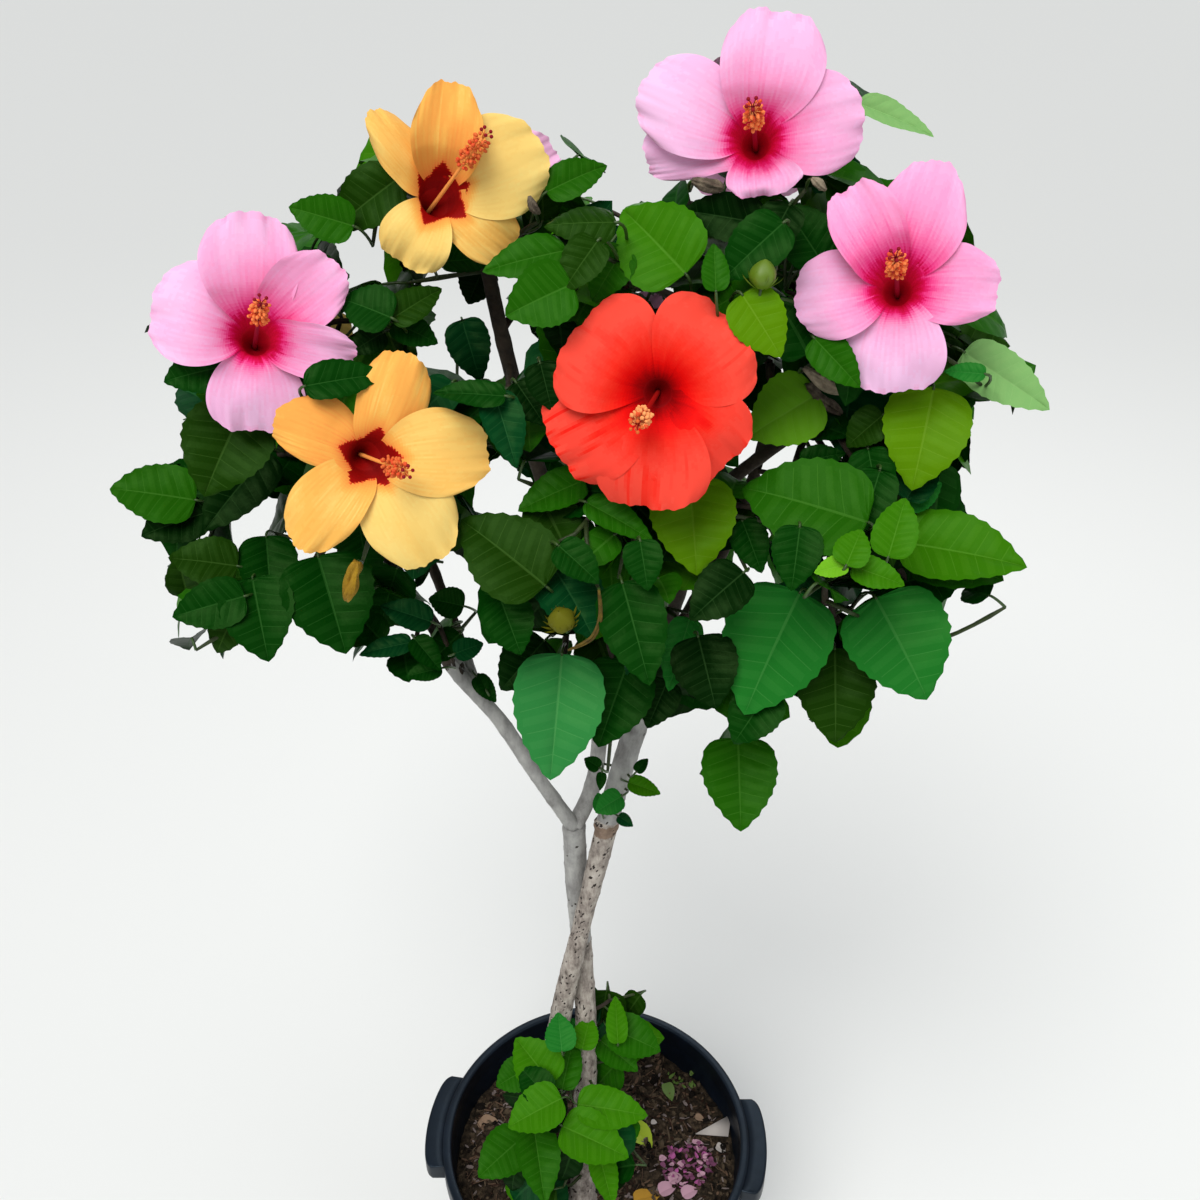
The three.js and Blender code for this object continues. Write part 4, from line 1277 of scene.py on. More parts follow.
def offer(first):
    """Lets the waiting anchors see the nodes from first on."""
    fresh = np.array(nodes[first:])
    cost = np.linalg.norm(targets[:, None] - fresh[None], axis=2) + DETOUR * np.array(charge[first:])[None]
    pick = cost.argmin(1)
    value = cost[np.arange(len(targets)), pick]
    better = value < best
    best[better] = value[better]
    best_node[better] = pick[better] + first


offer(0)
waiting = np.ones(len(targets), bool)
anchor_node = np.zeros(len(targets), int)
fixed = set(range(limb_count))
while waiting.any():
    chosen = int(np.where(waiting, best, np.inf).argmin())
    waiting[chosen] = False
    start = best_node[chosen]
    way = targets[chosen] - nodes[start]
    steps = max(1, int(np.linalg.norm(way) / TWIG_STEP))
    first = len(nodes)
    before = start
    for k in range(1, steps + 1):
        nodes.append(nodes[start] + way * k / steps)
        parent.append(before)
        charge.append(charge[before] + np.linalg.norm(way) / steps)
        before = len(nodes) - 1
    anchor_node[chosen] = before
    fixed.add(before)
    offer(first)
nodes = np.array(nodes)
parent = np.array(parent)
children = [[] for _ in nodes]
for i, p in enumerate(parent):
    if p >= 0:
        children[p].append(i)
for _ in range(SMOOTHINGS):
    moved = nodes.copy()
    for i in range(limb_count, len(nodes)):
        if children[i]:
            after = nodes[children[i]].mean(0)
            pull = ANCHOR_PULL if i in fixed else PULL
            moved[i] = nodes[i] * (1 - pull) + (nodes[parent[i]] + after) / 2 * pull
    nodes = moved

# Twigs in front of a leaf or bloom of the photograph go behind it
row, column, depth = cells_of(nodes)
nearest = cover[row, column]
sunk = np.where(np.isfinite(nearest), nearest + HIDING_GAP - depth, 0)
sunk[:limb_count] = 0
sunk[(sunk < 0) | (sunk > DEEPEST_HIDING)] = 0
nodes = nodes + (nodes - CAMERA) / depth[:, None] * sunk[:, None]
load = np.zeros(len(nodes))
for a, node in zip(anchors, anchor_node):
    load[node] += a["kind"] != "spray"

# Leaf stalks, and the leaves that grow on the twigs
STALKS = Sheaf()
LEAF_STALK, BLOOM_STALK = 0.0008, 0.0014


def stalk(start, end, heading, radius=LEAF_STALK):
    """A stalk that leaves a twig and comes in along a heading."""
    gap = np.linalg.norm(end - start)
    knee = end - unit(heading) * min(0.45 * gap, 0.007)
    at = np.linspace(0, 1, 6)[:, None]
    path = (1 - at) ** 2 * start + 2 * at * (1 - at) * knee + at ** 2 * end
    STALKS.add(*tube(path, np.linspace(radius * 1.25, radius, 6), 5), 0)


for a, node in zip(anchors, anchor_node):
    if a["kind"] == "leaf":
        stalk(nodes[node], a["end"] + a["face"] * 0.001, a["face"])
    elif a["kind"] == "bloom":
        stalk(nodes[node], a["end"], a["face"], BLOOM_STALK)

SPRAY_SHADES = ["dark", "dark", "mid", "mid", "olive", "deep", "teal", "bright"]
GOLDEN = 2.4
SPRAY_TRIES = 7
MOST_SPRAY_BEYOND, MOST_SPRAY_CROWDING = 0.06, 0.22
FARTHEST_OUT, OUT, OUT_SHARE = 0.016, 0.005, 0.4


def fits(points):
    """True if a leaf keeps to the foliage, clear of sky, blooms and other leaves."""
    probe = points[SMALL_BLADE.outline]
    if seen_outside(probe, mask) > MOST_SPRAY_BEYOND or in_daylight(points, 0.001):
        return False
    if covers_shown(points) or blocks_bloom(probe) or crowding(points) > MOST_SPRAY_CROWDING:
        return False
    away = np.array([outside(p)[0] for p in probe])
    return away.max() <= FARTHEST_OUT and np.mean(away > OUT) <= OUT_SHARE


def grow_spray(node, owner):
    """Leaves round a node of a twig, in a spiral; three of them, or four at a twig's end."""
    at = nodes[node]
    trend = unit(at - nodes[parent[node]]) if parent[node] >= 0 else UP
    outward = unit(unit(at - CENTRES[owner]) * 0.5 + unit((at - CROWN_MIDDLE) * (1, 1, 0.6)) * 0.8)
    shade = SPRAY_SHADES[rng.integers(len(SPRAY_SHADES))]
    # Sprays that face upwards more often take a lighter green: painted light on the crown's upper side.
    if outward[2] > 0.45 and rng.random() < 0.6:
        shade = "bright" if rng.random() < 0.5 else "mid"
    start_turn = rng.uniform(0, 6.28)
    for k in range(3 if children[node] else 4):
        for attempt in range(SPRAY_TRIES):
            turn = start_turn + GOLDEN * (k + attempt * 0.37)
            across = unit(np.cross(trend, (0.3, 0.2, 1)))
            over = np.cross(trend, across)
            side = across * math.cos(turn) + over * math.sin(turn)
            heading = unit(outward * 0.75 + side * 0.75 + trend * 0.35 + rng.normal(0, 0.2, 3) - UP * 0.15)
            length = rng.uniform(0.046, 0.068) * (0.85 if attempt > 3 else 1)
            reach = rng.uniform(0.010, 0.024)
            base = at + unit(heading + trend * 0.4 + UP * 0.25) * reach
            normal = unit(UP * 0.75 + outward * 0.55 + rng.normal(0, 0.28, 3))
            if abs(normal @ heading) > 0.93:
                continue
            points = bend(SMALL_BLADE.flat(rng.uniform(0.66, 0.88), rng.uniform(0, 50)),
                          fold=rng.uniform(0.05, 0.35), droop=rng.uniform(0.1, 0.7), curl=rng.uniform(0, 0.5),
                          twist=rng.uniform(-0.3, 0.3))
            points = set_at(points, base, heading, normal, length)
            if fits(points):
                add_leaf(SMALL_BLADE, points, shade, outside(points.mean(0))[1])
                stalk(at, base + heading * 0.001, heading)
                load[node] += 1
                break


for a, node in zip(anchors, anchor_node):
    if a["kind"] == "spray":
        grow_spray(node, a["owner"])

# The twigs that bear something
for i in range(len(nodes) - 1, limb_count - 1, -1):
    load[parent[i]] += load[i]
TWIGS = Sheaf()
THINNEST, THICKENING, THICKEST = 0.00085, 0.00050, 0.0038
twig_radius = np.minimum(THINNEST + THICKENING * np.sqrt(load), THICKEST)
children = [[c for c in group if load[c] > 0] for group in children]
for i in range(limb_count, len(nodes)):
    p = parent[i]
    if load[i] == 0 or (p >= limb_count and len(children[p]) == 1):
        continue
    chain = [p, i]
    while len(children[chain[-1]]) == 1:
        chain.append(children[chain[-1]][0])
    radii = np.array([twig_radius[k] for k in chain])
    radii[0] = radii[1]
    if not children[chain[-1]]:
        radii[-1] *= 0.7
    path = nodes[chain]
    if len(path) == 2:
        path = np.array([path[0], path.mean(0), path[1]])
        radii = np.array([radii[0], radii.mean(), radii[1]])
    knots = radii * (1 + 0.10 * np.cos(np.arange(len(radii)) * 2.1))
    points, faces = tube(path, knots, 7)
    green = smooth(radii.mean(), 0.0012, 0.0019)
    TWIGS.add(points, faces, 0 if green > rng.uniform(0.2, 0.8) else 1)

# Bark: swollen nodes, ridges, pits and cracks, smoother higher up, with a brown collar on the right stem; the
# pits and cracks, and the boughs high in the crown, are darkened as painted shade
BARK = Sheaf()
BOUGH_BARK = Sheaf()
COLLAR_HEIGHT = 0.654
SHADED_BARK_HEIGHT = 0.815
STEM_GRID, BOUGH_GRID = (72, 0.0012), (26, 0.003)
STEM_NODE_GAP, BOUGH_NODE_GAP = 0.024, 0.03
SMOOTH_ABOVE = {"stem_right": (COLLAR_HEIGHT, COLLAR_HEIGHT + 0.01), "stem_left": (0.42, 0.60)}
PIT_COUNTS = {"stem_right": 460, "stem_left": 150}
BOUGH_PITS = 14
RIDGE_DEPTH, PIT_DEPTH, CRACK_DEPTH, COLLAR_RISE = 0.00055, 0.0010, 0.0006, 0.0016
WAIST_HEIGHT, WAIST_REACH, WAIST_SHARE = 0.56, 0.05, 0.13
# Kinds of bark; PIT and DARK carry painted shade.
ROUGH, SMOOTH, PIT, COLLAR, DARK = range(5)


def add_bark(number, name, route, radii):
    """The skin of one limb."""
    stem = name in STEMS
    sides, step = STEM_GRID if stem else BOUGH_GRID
    path = curve_through(route, step)
    if stem:
        path = path[path[:, 2] > SOIL_LEVEL - 0.012]
    else:
        last = next((i for i, p in enumerate(path) if outside(p)[0] < -0.02), len(path) - 1)
        path = path[:last + 1]
    share = np.linspace(0, 1, len(path))
    height = np.clip(path[:, 2] - SOIL_LEVEL, 0, None)
    flare = 1 + (0.55 * np.exp(-3 * height / 0.055) if stem else 0)
    base = (radii[0] + (radii[1] - radii[0]) * share) * flare
    turn = turns(sides)
    skin = path[:, None] + ring_directions(path, sides) * base[:, None, None]
    smooth_part = np.ones((len(path), 1))
    if stem:
        smooth_part = smooth(path[:, 2], *SMOOTH_ABOVE[name])[:, None]
    rough = (1.0 if stem else 0.45) * (1 - 0.6 * smooth_part)
    drawn = skin * (260, 260, 60) + number * 10
    ridges = np.abs(noise(drawn)) * 0.6 + np.abs(noise(drawn * 2.3)) * 0.4
    lumps = noise(skin * 70 + number)
    fine = noise(skin * (900, 900, 500))
    run = share * np.linalg.norm(np.diff(path, axis=0), axis=1).sum()
    node_gap = STEM_NODE_GAP if stem else BOUGH_NODE_GAP
    nodes_at = 0.5 + 0.5 * np.cos(2 * math.pi * run / node_gap + 1.3 * np.sin(run * 60 + number))
    rings = (nodes_at ** 12)[:, None]
    sway = np.sin(2 * turn[None, :] + 7 * share[:, None] + number)
    radius = base[:, None] * (1 + 0.05 * sway + 0.05 * lumps)
    radius = radius + RIDGE_DEPTH * (0.35 - ridges) * rough + 0.00012 * fine + 0.00035 * rings
    pits = np.zeros_like(radius)
    for _ in range(PIT_COUNTS.get(name, BOUGH_PITS)):
        i, j = rng.integers(4, len(path) - 4), rng.integers(sides)
        if rng.random() > 1 - 0.8 * smooth_part[i, 0]:
            continue
        size = rng.uniform(0.0006, 0.0015)
        up_gap = (np.arange(len(path)) - i) * step / size
        side_gap = (np.arange(sides) - j + sides / 2) % sides - sides / 2
        around = side_gap * (2 * math.pi * base[i] / sides) / size
        bowl = np.exp(-(up_gap[:, None] ** 2 + (around[None, :] * rng.uniform(0.7, 1.5)) ** 2))
        pits = np.maximum(pits, bowl)
    radius = radius - PIT_DEPTH * pits + 0.0004 * np.clip(4 * pits * (1 - pits) - 0.5, 0, 1)
    cracks = (np.abs(noise(skin * (330, 330, 130) + 50)) < 0.055) & (noise(skin * 55 + 9) > -0.1)
    cracks = cracks & (smooth_part < 0.5) & stem
    radius = radius - CRACK_DEPTH * cracks
    if name == "stem_right":
        waist = WAIST_SHARE * np.exp(-(((path[:, 2] - WAIST_HEIGHT) / WAIST_REACH) ** 2))[:, None]
        collar = np.exp(-(((path[:, 2] - COLLAR_HEIGHT) / 0.004) ** 2))[:, None]
        radius = radius * (1 - waist) + COLLAR_RISE * collar * (0.6 + 0.6 * np.cos(turn[None, :] - 1.0))
    points, faces = tube(path, radius, sides)
    # Pits and cracks take the near-black pit colour: painted shade in the recesses.
    dark = np.append(np.maximum(pits, 0.6 * cracks).reshape(-1), [0, 0])[faces].mean(1) > 0.38
    face_smooth = np.append(np.broadcast_to(smooth_part, pits.shape).reshape(-1), [1, 1])[faces].mean(1)
    kinds = np.where(dark, PIT, np.where(face_smooth > 0.5, SMOOTH, ROUGH))
    seat = points[faces].mean(1)
    if not stem:
        # Boughs high in the crown take the dark bark: painted shade from the leaves above them.
        kinds = np.where(seat[:, 2] > SHADED_BARK_HEIGHT + 0.012 * noise(seat * 150), DARK, kinds)
    if name == "stem_right":
        at_collar = np.abs(seat[:, 2] - COLLAR_HEIGHT + 0.002) < 0.0055
        kinds = np.where(at_collar & (kinds != PIT), COLLAR, kinds)
    (BARK if stem else BOUGH_BARK).add(points, faces, kinds)


for number, (name, (route, radii)) in enumerate(LIMBS.items()):
    add_bark(number, name, route, radii)

# Pot: a turned tub with a rounded rim, and two grip lugs
POT_SIDES = 144
POT = Sheaf()
BAND = POT_HEIGHT - RIM_BAND
RIM_INNER = RIM_RADIUS - RIM_STEP - POT_WALL
CORNER_STEPS = 5


def pot_radius(z):
    return FOOT_RADIUS + (RIM_RADIUS - RIM_STEP - FOOT_RADIUS) * z / BAND


def round_corner(before, corner, after, radius):
    """Points of a rounded corner of a profile."""
    corner = np.array(corner, float)
    a = corner + unit(np.array(before) - corner) * radius
    b = corner + unit(np.array(after) - corner) * radius
    at = np.linspace(0, 1, CORNER_STEPS)[:, None]
    return list((1 - at) ** 2 * a + 2 * at * (1 - at) * corner + at ** 2 * b)


def rounded(profile, radii):
    made = [np.array(profile[0], float)]
    for before, corner, after, radius in zip(profile[:-2], profile[1:-1], profile[2:], radii):
        made += round_corner(before, corner, after, radius) if radius else [np.array(corner, float)]
    return np.array(made + [np.array(profile[-1], float)])


profile = rounded(
    [(0, 0.003), (FOOT_RADIUS - 0.014, 0.003), (FOOT_RADIUS - 0.011, 0), (FOOT_RADIUS - 0.001, 0),
     (pot_radius(0.02), 0.02), (pot_radius(0.12), 0.12), (pot_radius(BAND), BAND), (RIM_RADIUS, BAND + 0.001),
     (RIM_RADIUS, POT_HEIGHT), (RIM_INNER - 0.001, POT_HEIGHT), (RIM_INNER, BAND),
     (pot_radius(0.12) - POT_WALL, 0.12), (pot_radius(0.006) - POT_WALL, 0.006), (0, 0.006)],
    [0.001, 0.001, 0.002, 0.004, 0.004, 0.0015, 0.0015, 0.0032, 0.0032, 0.002, 0.002, 0.003])
turn = turns(POT_SIDES)
points = np.stack([profile[:, :1] * np.cos(turn), profile[:, :1] * np.sin(turn),
                   profile[:, 1:] + 0 * turn], -1).reshape(-1, 3)
POT.add(points, quads(len(profile), POT_SIDES, wrap=True)[:, ::-1])
LUG_STEPS = 40
for side in (0, math.pi):
    across = np.linspace(-1, 1, LUG_STEPS)
    reach = LUG_REACH * (1 - np.abs(across) ** 9) ** 0.35
    section = rounded([(-0.006, -0.5), (0.5, -0.5), (1, -0.5), (1, 0.5), (0.5, 0.5), (-0.006, 0.5)],
                      [0, 0.12, 0.12, 0])
    angle = across * LUG_HALF_ANGLE + side + LUG_TURN
    inner = RIM_RADIUS - 0.003
    out = inner + (reach[:, None] + 0.003) * np.clip(section[None, :, 0], 0, 1)
    high = POT_HEIGHT - 0.0015 - LUG_HEIGHT / 2 + LUG_HEIGHT * section[None, :, 1] * (0.97 + 0 * out)
    points = np.stack([out * np.cos(angle)[:, None], out * np.sin(angle)[:, None], high], -1)
    count = points.shape[1]
    faces = quads(LUG_STEPS, count, wrap=True)
    first, last = np.arange(count), (LUG_STEPS - 1) * count + np.arange(count)
    fan = [(first[0], first[k + 1], first[k]) for k in range(1, count - 1)]
    fan += [(last[0], last[k], last[k + 1]) for k in range(1, count - 1)]
    POT.add(points.reshape(-1, 3), np.vstack([faces, np.array(fan)]))
POT.build("tub", [
    mottled("pot_plastic", [(0.3, "#070a10"), (0.55, "#0c121b"), (0.8, "#131b28")], 25.0, rough=0.40,
            spread=0.10, bump=0.25, depth=0.0003, specular=0.30, tint=(0.6, 0.8, 1.0)),
], "pot", ["pot"])

# Soil: a lumpy top in the pot, with crumbs, bark chips and fibres lying on it
SOIL_RINGS, SOIL_SIDES = 70, 160
soil_radius = pot_radius(SOIL_LEVEL) - POT_WALL - 0.0005
FEET = np.array([STEMS[n][0][0][:2] for n in STEMS])


def soil_height(x, y):
    """Height of the soil's top."""
    flat = np.stack([x, y, 0 * x], -1)
    rise = 0.0042 * noise(flat * 45) + 0.0026 * noise(flat * 120 + 7) + 0.0012 * noise(flat * 330 + 3)
    rim = smooth(np.hypot(x, y), 0.8 * soil_radius, soil_radius)
    mound = sum(np.exp(-(((x - f[0]) ** 2 + (y - f[1]) ** 2) / 0.035 ** 2)) for f in FEET)
    return SOIL_LEVEL - 0.001 + rise - 0.004 * rim + 0.004 * mound


SOIL = Sheaf()
SKIRT_DEPTH = 0.03
radius = soil_radius * np.linspace(0.002, 1, SOIL_RINGS)[:, None]
turn = turns(SOIL_SIDES)[None, :]
x, y = radius * np.cos(turn), radius * np.sin(turn)
top = np.stack([x, y, soil_height(x, y)], -1)
tapered = (pot_radius(SOIL_LEVEL - SKIRT_DEPTH) - POT_WALL - 0.0005) / soil_radius
skirt = top[-1:] * (tapered, tapered, 0) + (0, 0, SOIL_LEVEL - SKIRT_DEPTH)
under = np.stack([0 * x[:1], 0 * y[:1], 0 * x[:1] + SOIL_LEVEL - SKIRT_DEPTH], -1)
grid = np.concatenate([top, skirt, under])
SOIL.add(grid.reshape(-1, 3), quads(len(grid), SOIL_SIDES, wrap=True))
CLOD_TURN = turns(7)[None, :]
CLOD_RING = np.linspace(0.12, math.pi - 0.12, 5)[:, None]
CLOD = np.stack([np.sin(CLOD_RING) * np.cos(CLOD_TURN), np.sin(CLOD_RING) * np.sin(CLOD_TURN),
                 np.cos(CLOD_RING) + 0 * CLOD_TURN], -1).reshape(-1, 3)
CLOD_FACES = quads(5, 7, wrap=True)[:, ::-1]
CLOD_KINDS, FLAKE_KINDS, FIBRE_KINDS = (1, 2, 3), (3, 4, 5, 6), (4, 5)
CLOD_COUNT, CHIP_COUNT, FIBRE_COUNT = 1500, 1500, 380
CLODS = {"soil_clod": "#2c231a", "soil_clod_dark": "#130e0a", "soil_clod_pale": "#4e4234"}
SCRAPS = {"soil_fibre": "#574436", "soil_chip": "#2c1c14", "soil_flake": "#6d625f"}

# Litter: colour and roughness of each kind
LITTER = {
    "white": ("#a9a29d", 0.8),
    "yellow": ("#96ac06", 0.5),
    "green": ("#4f6a24", 0.6),
    "tan": ("#7d6550", 0.8),
    "ochre": ("#a67a10", 0.7),
    "pink": ("#a4508a", 0.8),
    "mauve": ("#6f3859", 0.8),
    "blush": ("#ac8494", 0.8),
}
GREEN_BITS, PETAL_BITS = 16, 120
HEAP_X, HEAP_Y, HEAP_REACH = 688, 1168, 27


def on_soil(inset):
    """A random place on the soil's top."""
    angle = rng.uniform(0, 2 * math.pi)
    reach = (soil_radius - inset) * math.sqrt(rng.uniform())
    x, y = reach * math.cos(angle), reach * math.sin(angle)
    return np.array([x, y, float(soil_height(np.array(x), np.array(y)))])


for _ in range(CLOD_COUNT):
    size = rng.uniform(0.0008, 0.0026) if rng.random() < 0.88 else rng.uniform(0.0026, 0.0052)
    points = CLOD * size * rng.uniform(0.5, 1.3, 3)
    points = points * (1 + 0.6 * noise(CLOD * 1.7 + rng.uniform(0, 90)))[:, None]
    SOIL.add(points + on_soil(size) + (0, 0, 0.1 * size), CLOD_FACES, int(rng.choice(CLOD_KINDS)))
CHIP_FACES = quads(3, 2)
for _ in range(CHIP_COUNT):
    middle = on_soil(0.008)
    way = rng.uniform(0, 2 * math.pi)
    long_side, short_side = rng.uniform(0.0020, 0.0090), rng.uniform(0.0010, 0.0034)
    along = np.array([math.cos(way), math.sin(way), rng.uniform(-0.35, 0.35)])
    across = np.array([-math.sin(way), math.cos(way), rng.uniform(-0.5, 0.5)])
    bow = rng.uniform(-0.3, 0.3)
    points = []
    for a in (-0.5, 0, 0.5):
        for b in (-0.5, 0.5):
            aside = across * short_side * (b + 0.3 * a) * (1 - 0.8 * abs(a))
            points.append(middle + (0, 0, 0.0014) + along * long_side * a + aside
                          + UP * bow * long_side * (0.25 - a * a))
    SOIL.add(np.array(points), CHIP_FACES, int(rng.choice(FLAKE_KINDS)))
for _ in range(FIBRE_COUNT):
    start = on_soil(0.012)
    way = rng.uniform(0, 2 * math.pi)
    length = rng.uniform(0.006, 0.022)
    at = np.linspace(-0.5, 0.5, 5)[:, None]
    bow = rng.uniform(-0.25, 0.25)
    flat = np.array([math.cos(way), math.sin(way), rng.uniform(-0.15, 0.15)])
    side = np.array([-math.sin(way), math.cos(way), 0])
    path = start + (0, 0, 0.0012) + length * (at * flat + bow * (at ** 2) * side)
    if np.hypot(path[:, 0], path[:, 1]).max() < soil_radius - 0.001:
        SOIL.add(*tube(path, rng.uniform(0.00025, 0.0007), 4), int(rng.choice(FIBRE_KINDS)))


def on_soil_at(px, py, lift):
    """The point of the soil's top seen at a pixel."""
    ray = sight(px, py)
    point = CAMERA + ray * (SOIL_LEVEL - CAMERA[2]) / ray[2]
    return np.array([point[0], point[1], float(soil_height(np.array(point[0]), np.array(point[1]))) + lift])


def litter_kind(name):
    """The number of a kind of litter among the soil's materials."""
    return 1 + len(CLODS) + len(SCRAPS) + list(LITTER).index(name)


def litter(base_px, tip_px, ratio, name, fold=0.2, lift=0.0025, tilt=(0, 0, 0), curl=0.3):
    """A leaf or petal lying on the soil between two pixels."""
    base, tip = on_soil_at(*base_px, lift), on_soil_at(*tip_px, lift)
    length = float(np.linalg.norm(tip - base))
    points = bend(SMALL_BLADE.flat(ratio, base_px[0], teeth=0.01), fold=fold, droop=0.1, curl=curl,
                  twist=rng.uniform(-0.3, 0.3))
    points = set_at(points, base, tip - base, UP + np.array(tilt), length)
    SOIL.add(points, SMALL_BLADE.faces, litter_kind(name))


SHARD = np.array([on_soil_at(px, py, 0.005) for px, py in ((695, 1138), (731, 1116), (728, 1139))])
SHARD = np.vstack([SHARD + (0, 0, 0.0012), SHARD])
SHARD_FACES = np.array([(0, 2, 1), (3, 4, 5), (0, 1, 4), (0, 4, 3), (1, 2, 5), (1, 5, 4), (2, 0, 3),
                        (2, 3, 5)])
SOIL.add(SHARD, SHARD_FACES, litter_kind("white"))
litter((617, 1125), (628, 1146), 0.66, "white", lift=0.006)
litter((630, 1127), (652, 1148), 0.80, "yellow", lift=0.006)
litter((666, 1084), (672, 1102), 0.60, "green", lift=0.006)
litter((480, 1118), (505, 1135), 0.55, "tan")
litter((634, 1202), (662, 1192), 0.60, "ochre", lift=0.004)
litter((695, 1119), (705, 1121), 0.80, "tan")
litter((651, 1122), (657, 1123), 0.90, "white")
litter((716, 1146), (726, 1150), 0.90, "white")
litter((692, 1142), (704, 1144), 0.50, "blush")
for _ in range(GREEN_BITS):
    px, py = rng.uniform(666, 696), rng.uniform(1074, 1090)
    end = (px + rng.uniform(-5, 5), py - rng.uniform(3, 7))
    litter((px, py), end, 0.4, "green", lift=rng.uniform(0.002, 0.008))
for _ in range(PETAL_BITS):
    away, way = HEAP_REACH * math.sqrt(rng.uniform()), rng.uniform(0, 2 * math.pi)
    px, py = HEAP_X + away * math.cos(way), HEAP_Y + 0.9 * away * math.sin(way)
    size = rng.uniform(3, 7)
    turned = rng.uniform(0, 2 * math.pi)
    step = np.array([math.cos(turned), 0.8 * math.sin(turned)]) * size * 0.6
    kind = str(rng.choice(["pink", "mauve", "mauve", "mauve", "blush"]))
    litter((px - step[0], py - step[1]), (px + step[0], py + step[1]), rng.uniform(0.5, 1.0), kind,
           fold=rng.uniform(-0.9, 0.9), lift=rng.uniform(0.001, 0.012), tilt=rng.normal(0, 0.7, 3),
           curl=rng.uniform(-0.9, 0.9))
for px, py, size in [(668, 1190, 17), (690, 1194, 15), (676, 1180, 13)]:
    litter((px - size * 0.5, py + 4), (px + size * 0.5, py - 4), 0.9, "blush", fold=0.4, lift=0.004, curl=0.5)
soil_materials = [
    mottled("soil_ground", [(0.30, "#0c0a07"), (0.46, "#261f17"), (0.62, "#463a2d"), (0.80, "#675945")],
            170.0, rough=0.95, spread=0.04, bump=0.9, depth=0.0015, specular=0.15),
]
for name, colour in CLODS.items():
    soil_materials.append(material(name, colour, rough=0.95, bump=0.6, scale=900, specular=0.15))
for name, colour in SCRAPS.items():
    soil_materials.append(material(name, colour, rough=0.9, bump=0.3, specular=0.15))
for name, (colour, rough) in LITTER.items():
    soil_materials.append(material("litter_" + name, colour, rough=rough, bump=0.3))
SOIL.build("compost", soil_materials, "soil", ["soil"])

BARK_MATERIALS = [
    mottled("bark_rough", [(0.30, "#544b44"), (0.44, "#8c827a"), (0.58, "#afa69c"), (0.75, "#c9c1b8")], 150.0,
            rough=0.82, bump=0.8, depth=0.0012, stretch=(1, 1, 0.5)),
    mottled("bark_smooth", [(0.30, "#74716f"), (0.50, "#9a9996"), (0.72, "#b8b7b2")], 80.0,
            rough=0.72, bump=0.5, depth=0.0008, stretch=(1, 1, 0.5)),
    # Painted shade for the bark's pits and cracks.
    material("bark_pit", "#2b231e", rough=0.9, bump=0.5),
    mottled("bark_collar", [(0.3, "#5d4b3e"), (0.7, "#8f7a69")], 120.0, rough=0.85, bump=0.6),
    # Painted shade for the boughs high in the crown.
    mottled("bark_inner", [(0.3, "#1d1812"), (0.7, "#453a2e")], 90.0, rough=0.85, bump=0.6),
]
BARK.build("stems", BARK_MATERIALS, "bark", list(STEMS))
BOUGH_BARK.build("boughs", BARK_MATERIALS, "bark", list(BOUGHS))
TWIGS.build("twigs", [
    mottled("twig_brown", [(0.3, "#1c150e"), (0.7, "#3d3122")], 150.0, rough=0.75),
    mottled("twig_green", [(0.3, "#1d2a0e"), (0.7, "#37461b")], 150.0, rough=0.6),
], "bark")
STALKS.build("leaf_stalks", [material("stalk_green", "#2f4a16", rough=0.5)], "leaves")

leaf_materials = []
gloss = dict(rough=0.36, spread=0.08, bump=0.35, depth=0.0006, specular=0.07, scale=260.0, tint=LEAF_GLOSS)
for shade, blade_colour in GREENS.items():
    tints = [(0, blade_colour), (1, LEAF_TINT)]
    leaf_materials.append(material("leaf_" + shade, blade_colour, **gloss))
    leaf_materials.append(material("vein_" + shade, mix(tints, VEIN_SHARE), rough=0.45, spread=0.05,
                                   specular=0.07, tint=LEAF_GLOSS))
    # The crests' slightly lighter colour is a painted highlight.
    leaf_materials.append(material("crest_" + shade, mix(tints, HIGHLIGHT_SHARE), **gloss))
for region, names in REGIONS.items():
    LEAVES[region].build(region, leaf_materials, "leaves", names)
for kind, sheaf in PETALS.items():
    tones = [material(f"{kind}_{k}", mix(PETAL_RAMPS[kind], (k + 0.5) / TONES), rough=0.65, spread=0.06,
                      bump=0.12, depth=0.0003, specular=0.08) for k in range(TONES)]
    sheaf.build(kind, tones, kind)
STAMEN_LOOKS = {
    "anther": ("#fa8448", 0.7),
    "anther_dark": ("#e0522a", 0.7),
    "stigma": ("#8c0a1c", 0.7),
    "pillar_pink": ("#8e0424", 0.6),
    "pillar_orange": ("#f0984a", 0.6),
    "pillar_red": ("#9c0c08", 0.6),
    "filament": ("#ee9a5a", 0.6),
    "anther_red": ("#e06a34", 0.7),
    "anther_pale": ("#f8a464", 0.7),
    "stigma_orange": ("#d8642c", 0.7),
}
STAMENS.build("stamens", [
    material(name, colour, rough=rough, specular=0.2) for name, (colour, rough) in STAMEN_LOOKS.items()
], "petals_yellow")
CALYCES.build("calyces", [
    material("calyx_green", "#5f8a34", rough=0.55),
    material("bract_green", "#4a7a2a", rough=0.55),
], "leaves")

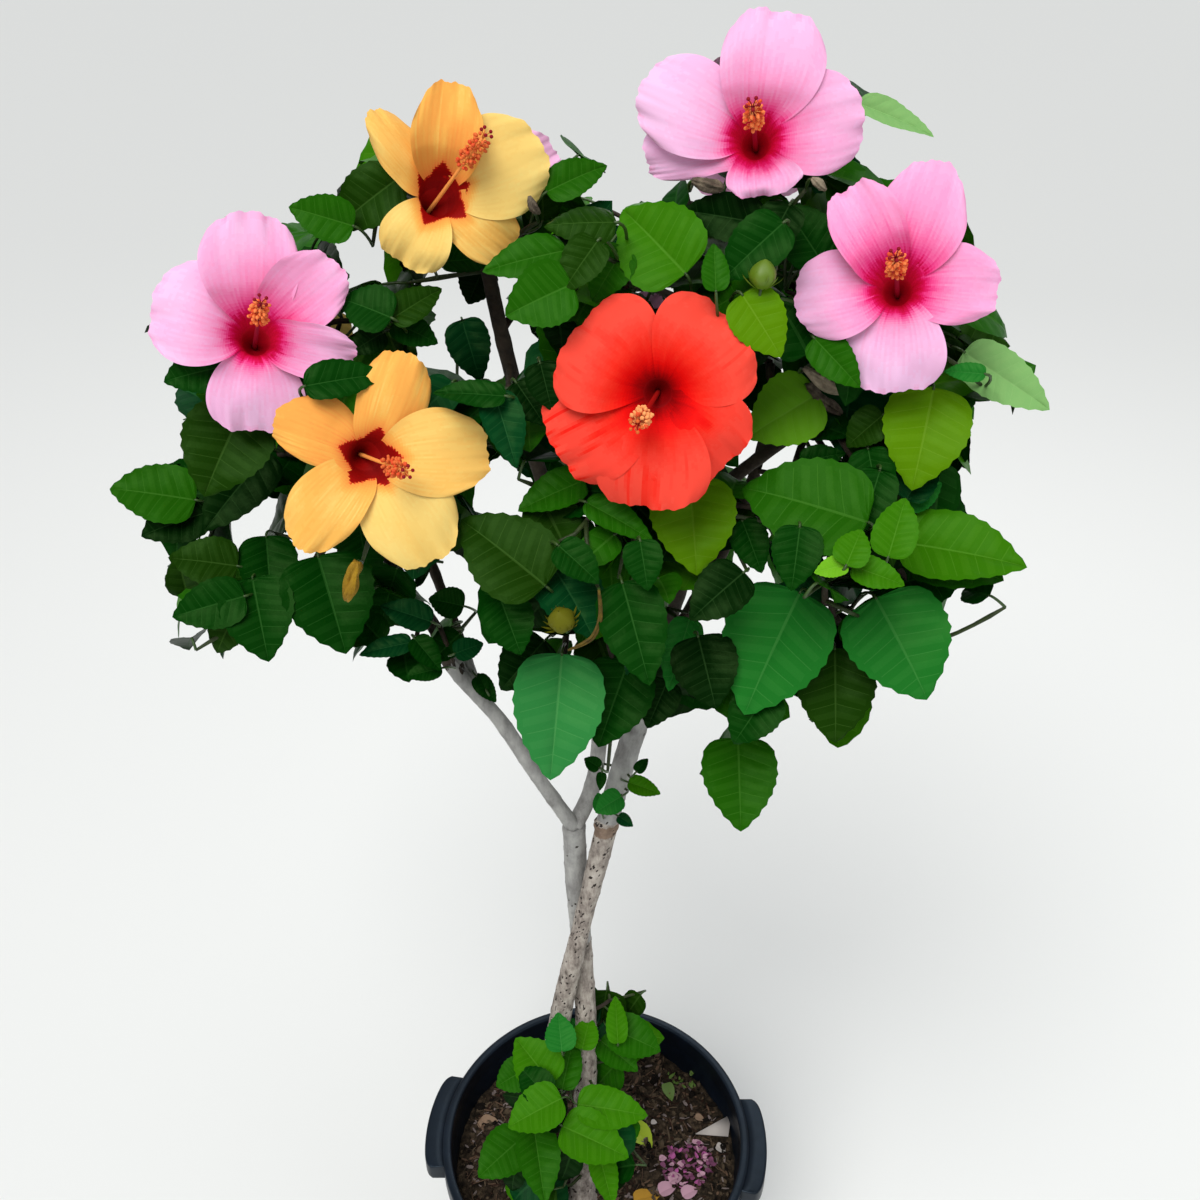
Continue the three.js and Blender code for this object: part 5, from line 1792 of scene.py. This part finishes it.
# Camera, floor and light
camera_data = bpy.data.cameras.new("camera")
camera_data.lens = LENS
camera_data.sensor_width = SENSOR
camera = bpy.data.objects.new("camera", camera_data)
camera.location = CAMERA
camera.rotation_euler = (math.pi / 2 - PITCH, 0, 0)
bpy.context.scene.collection.objects.link(camera)
bpy.context.scene.camera = camera

floor_mesh = bpy.data.meshes.new("floor")
floor_side = 40.0
floor_corners = [(x * floor_side, y * floor_side, 0) for x, y in ((-1, -1), (1, -1), (1, 1), (-1, 1))]
floor_mesh.from_pydata(floor_corners, [], [(0, 1, 2, 3)])
floor = bpy.data.objects.new("floor", floor_mesh)
bpy.context.scene.collection.objects.link(floor)
floor_mesh.materials.append(material("floor_paint", "#e7e8e6", rough=0.9, spread=0.05, scale=8.0, bump=0.02,
                                     specular=0.2))

world = bpy.data.worlds.new("world")
world.use_nodes = True
world.node_tree.nodes["Background"].inputs["Color"].default_value = (0.93, 0.96, 1.0, 1)
world.node_tree.nodes["Background"].inputs["Strength"].default_value = 0.42
bpy.context.scene.world = world


def softbox(name, location, target, size, power, colour=(1, 1, 1)):
    data = bpy.data.lights.new(name, "AREA")
    data.shape = "RECTANGLE"
    data.size, data.size_y = size
    data.energy = power
    data.color = colour
    light = bpy.data.objects.new(name, data)
    light.location = location
    aim = Vector(target) - Vector(location)
    light.rotation_euler = aim.to_track_quat("-Z", "Y").to_euler()
    bpy.context.scene.collection.objects.link(light)


sun_data = bpy.data.lights.new("sun", "SUN")
sun_data.energy = 2.0
sun_data.angle = 0.7
sun_data.color = (1.0, 0.99, 0.97)
sun = bpy.data.objects.new("sun", sun_data)
sun.rotation_euler = Vector((0.35, 0.8, -1.2)).to_track_quat("-Z", "Y").to_euler()
bpy.context.scene.collection.objects.link(sun)
softbox("key", (-0.5, -1.3, 3.0), (0, 0, 0.9), (1.3, 1.3), 14, (1.0, 0.99, 0.97))
softbox("fill", (1.9, -1.2, 1.9), (0, 0, 0.9), (1.4, 1.4), 6, (0.95, 0.98, 1.0))
softbox("rim", (0.4, 2.0, 2.5), (0, 0, 0.95), (1.6, 1.2), 16)
bpy.context.scene.view_settings.view_transform = "Standard"
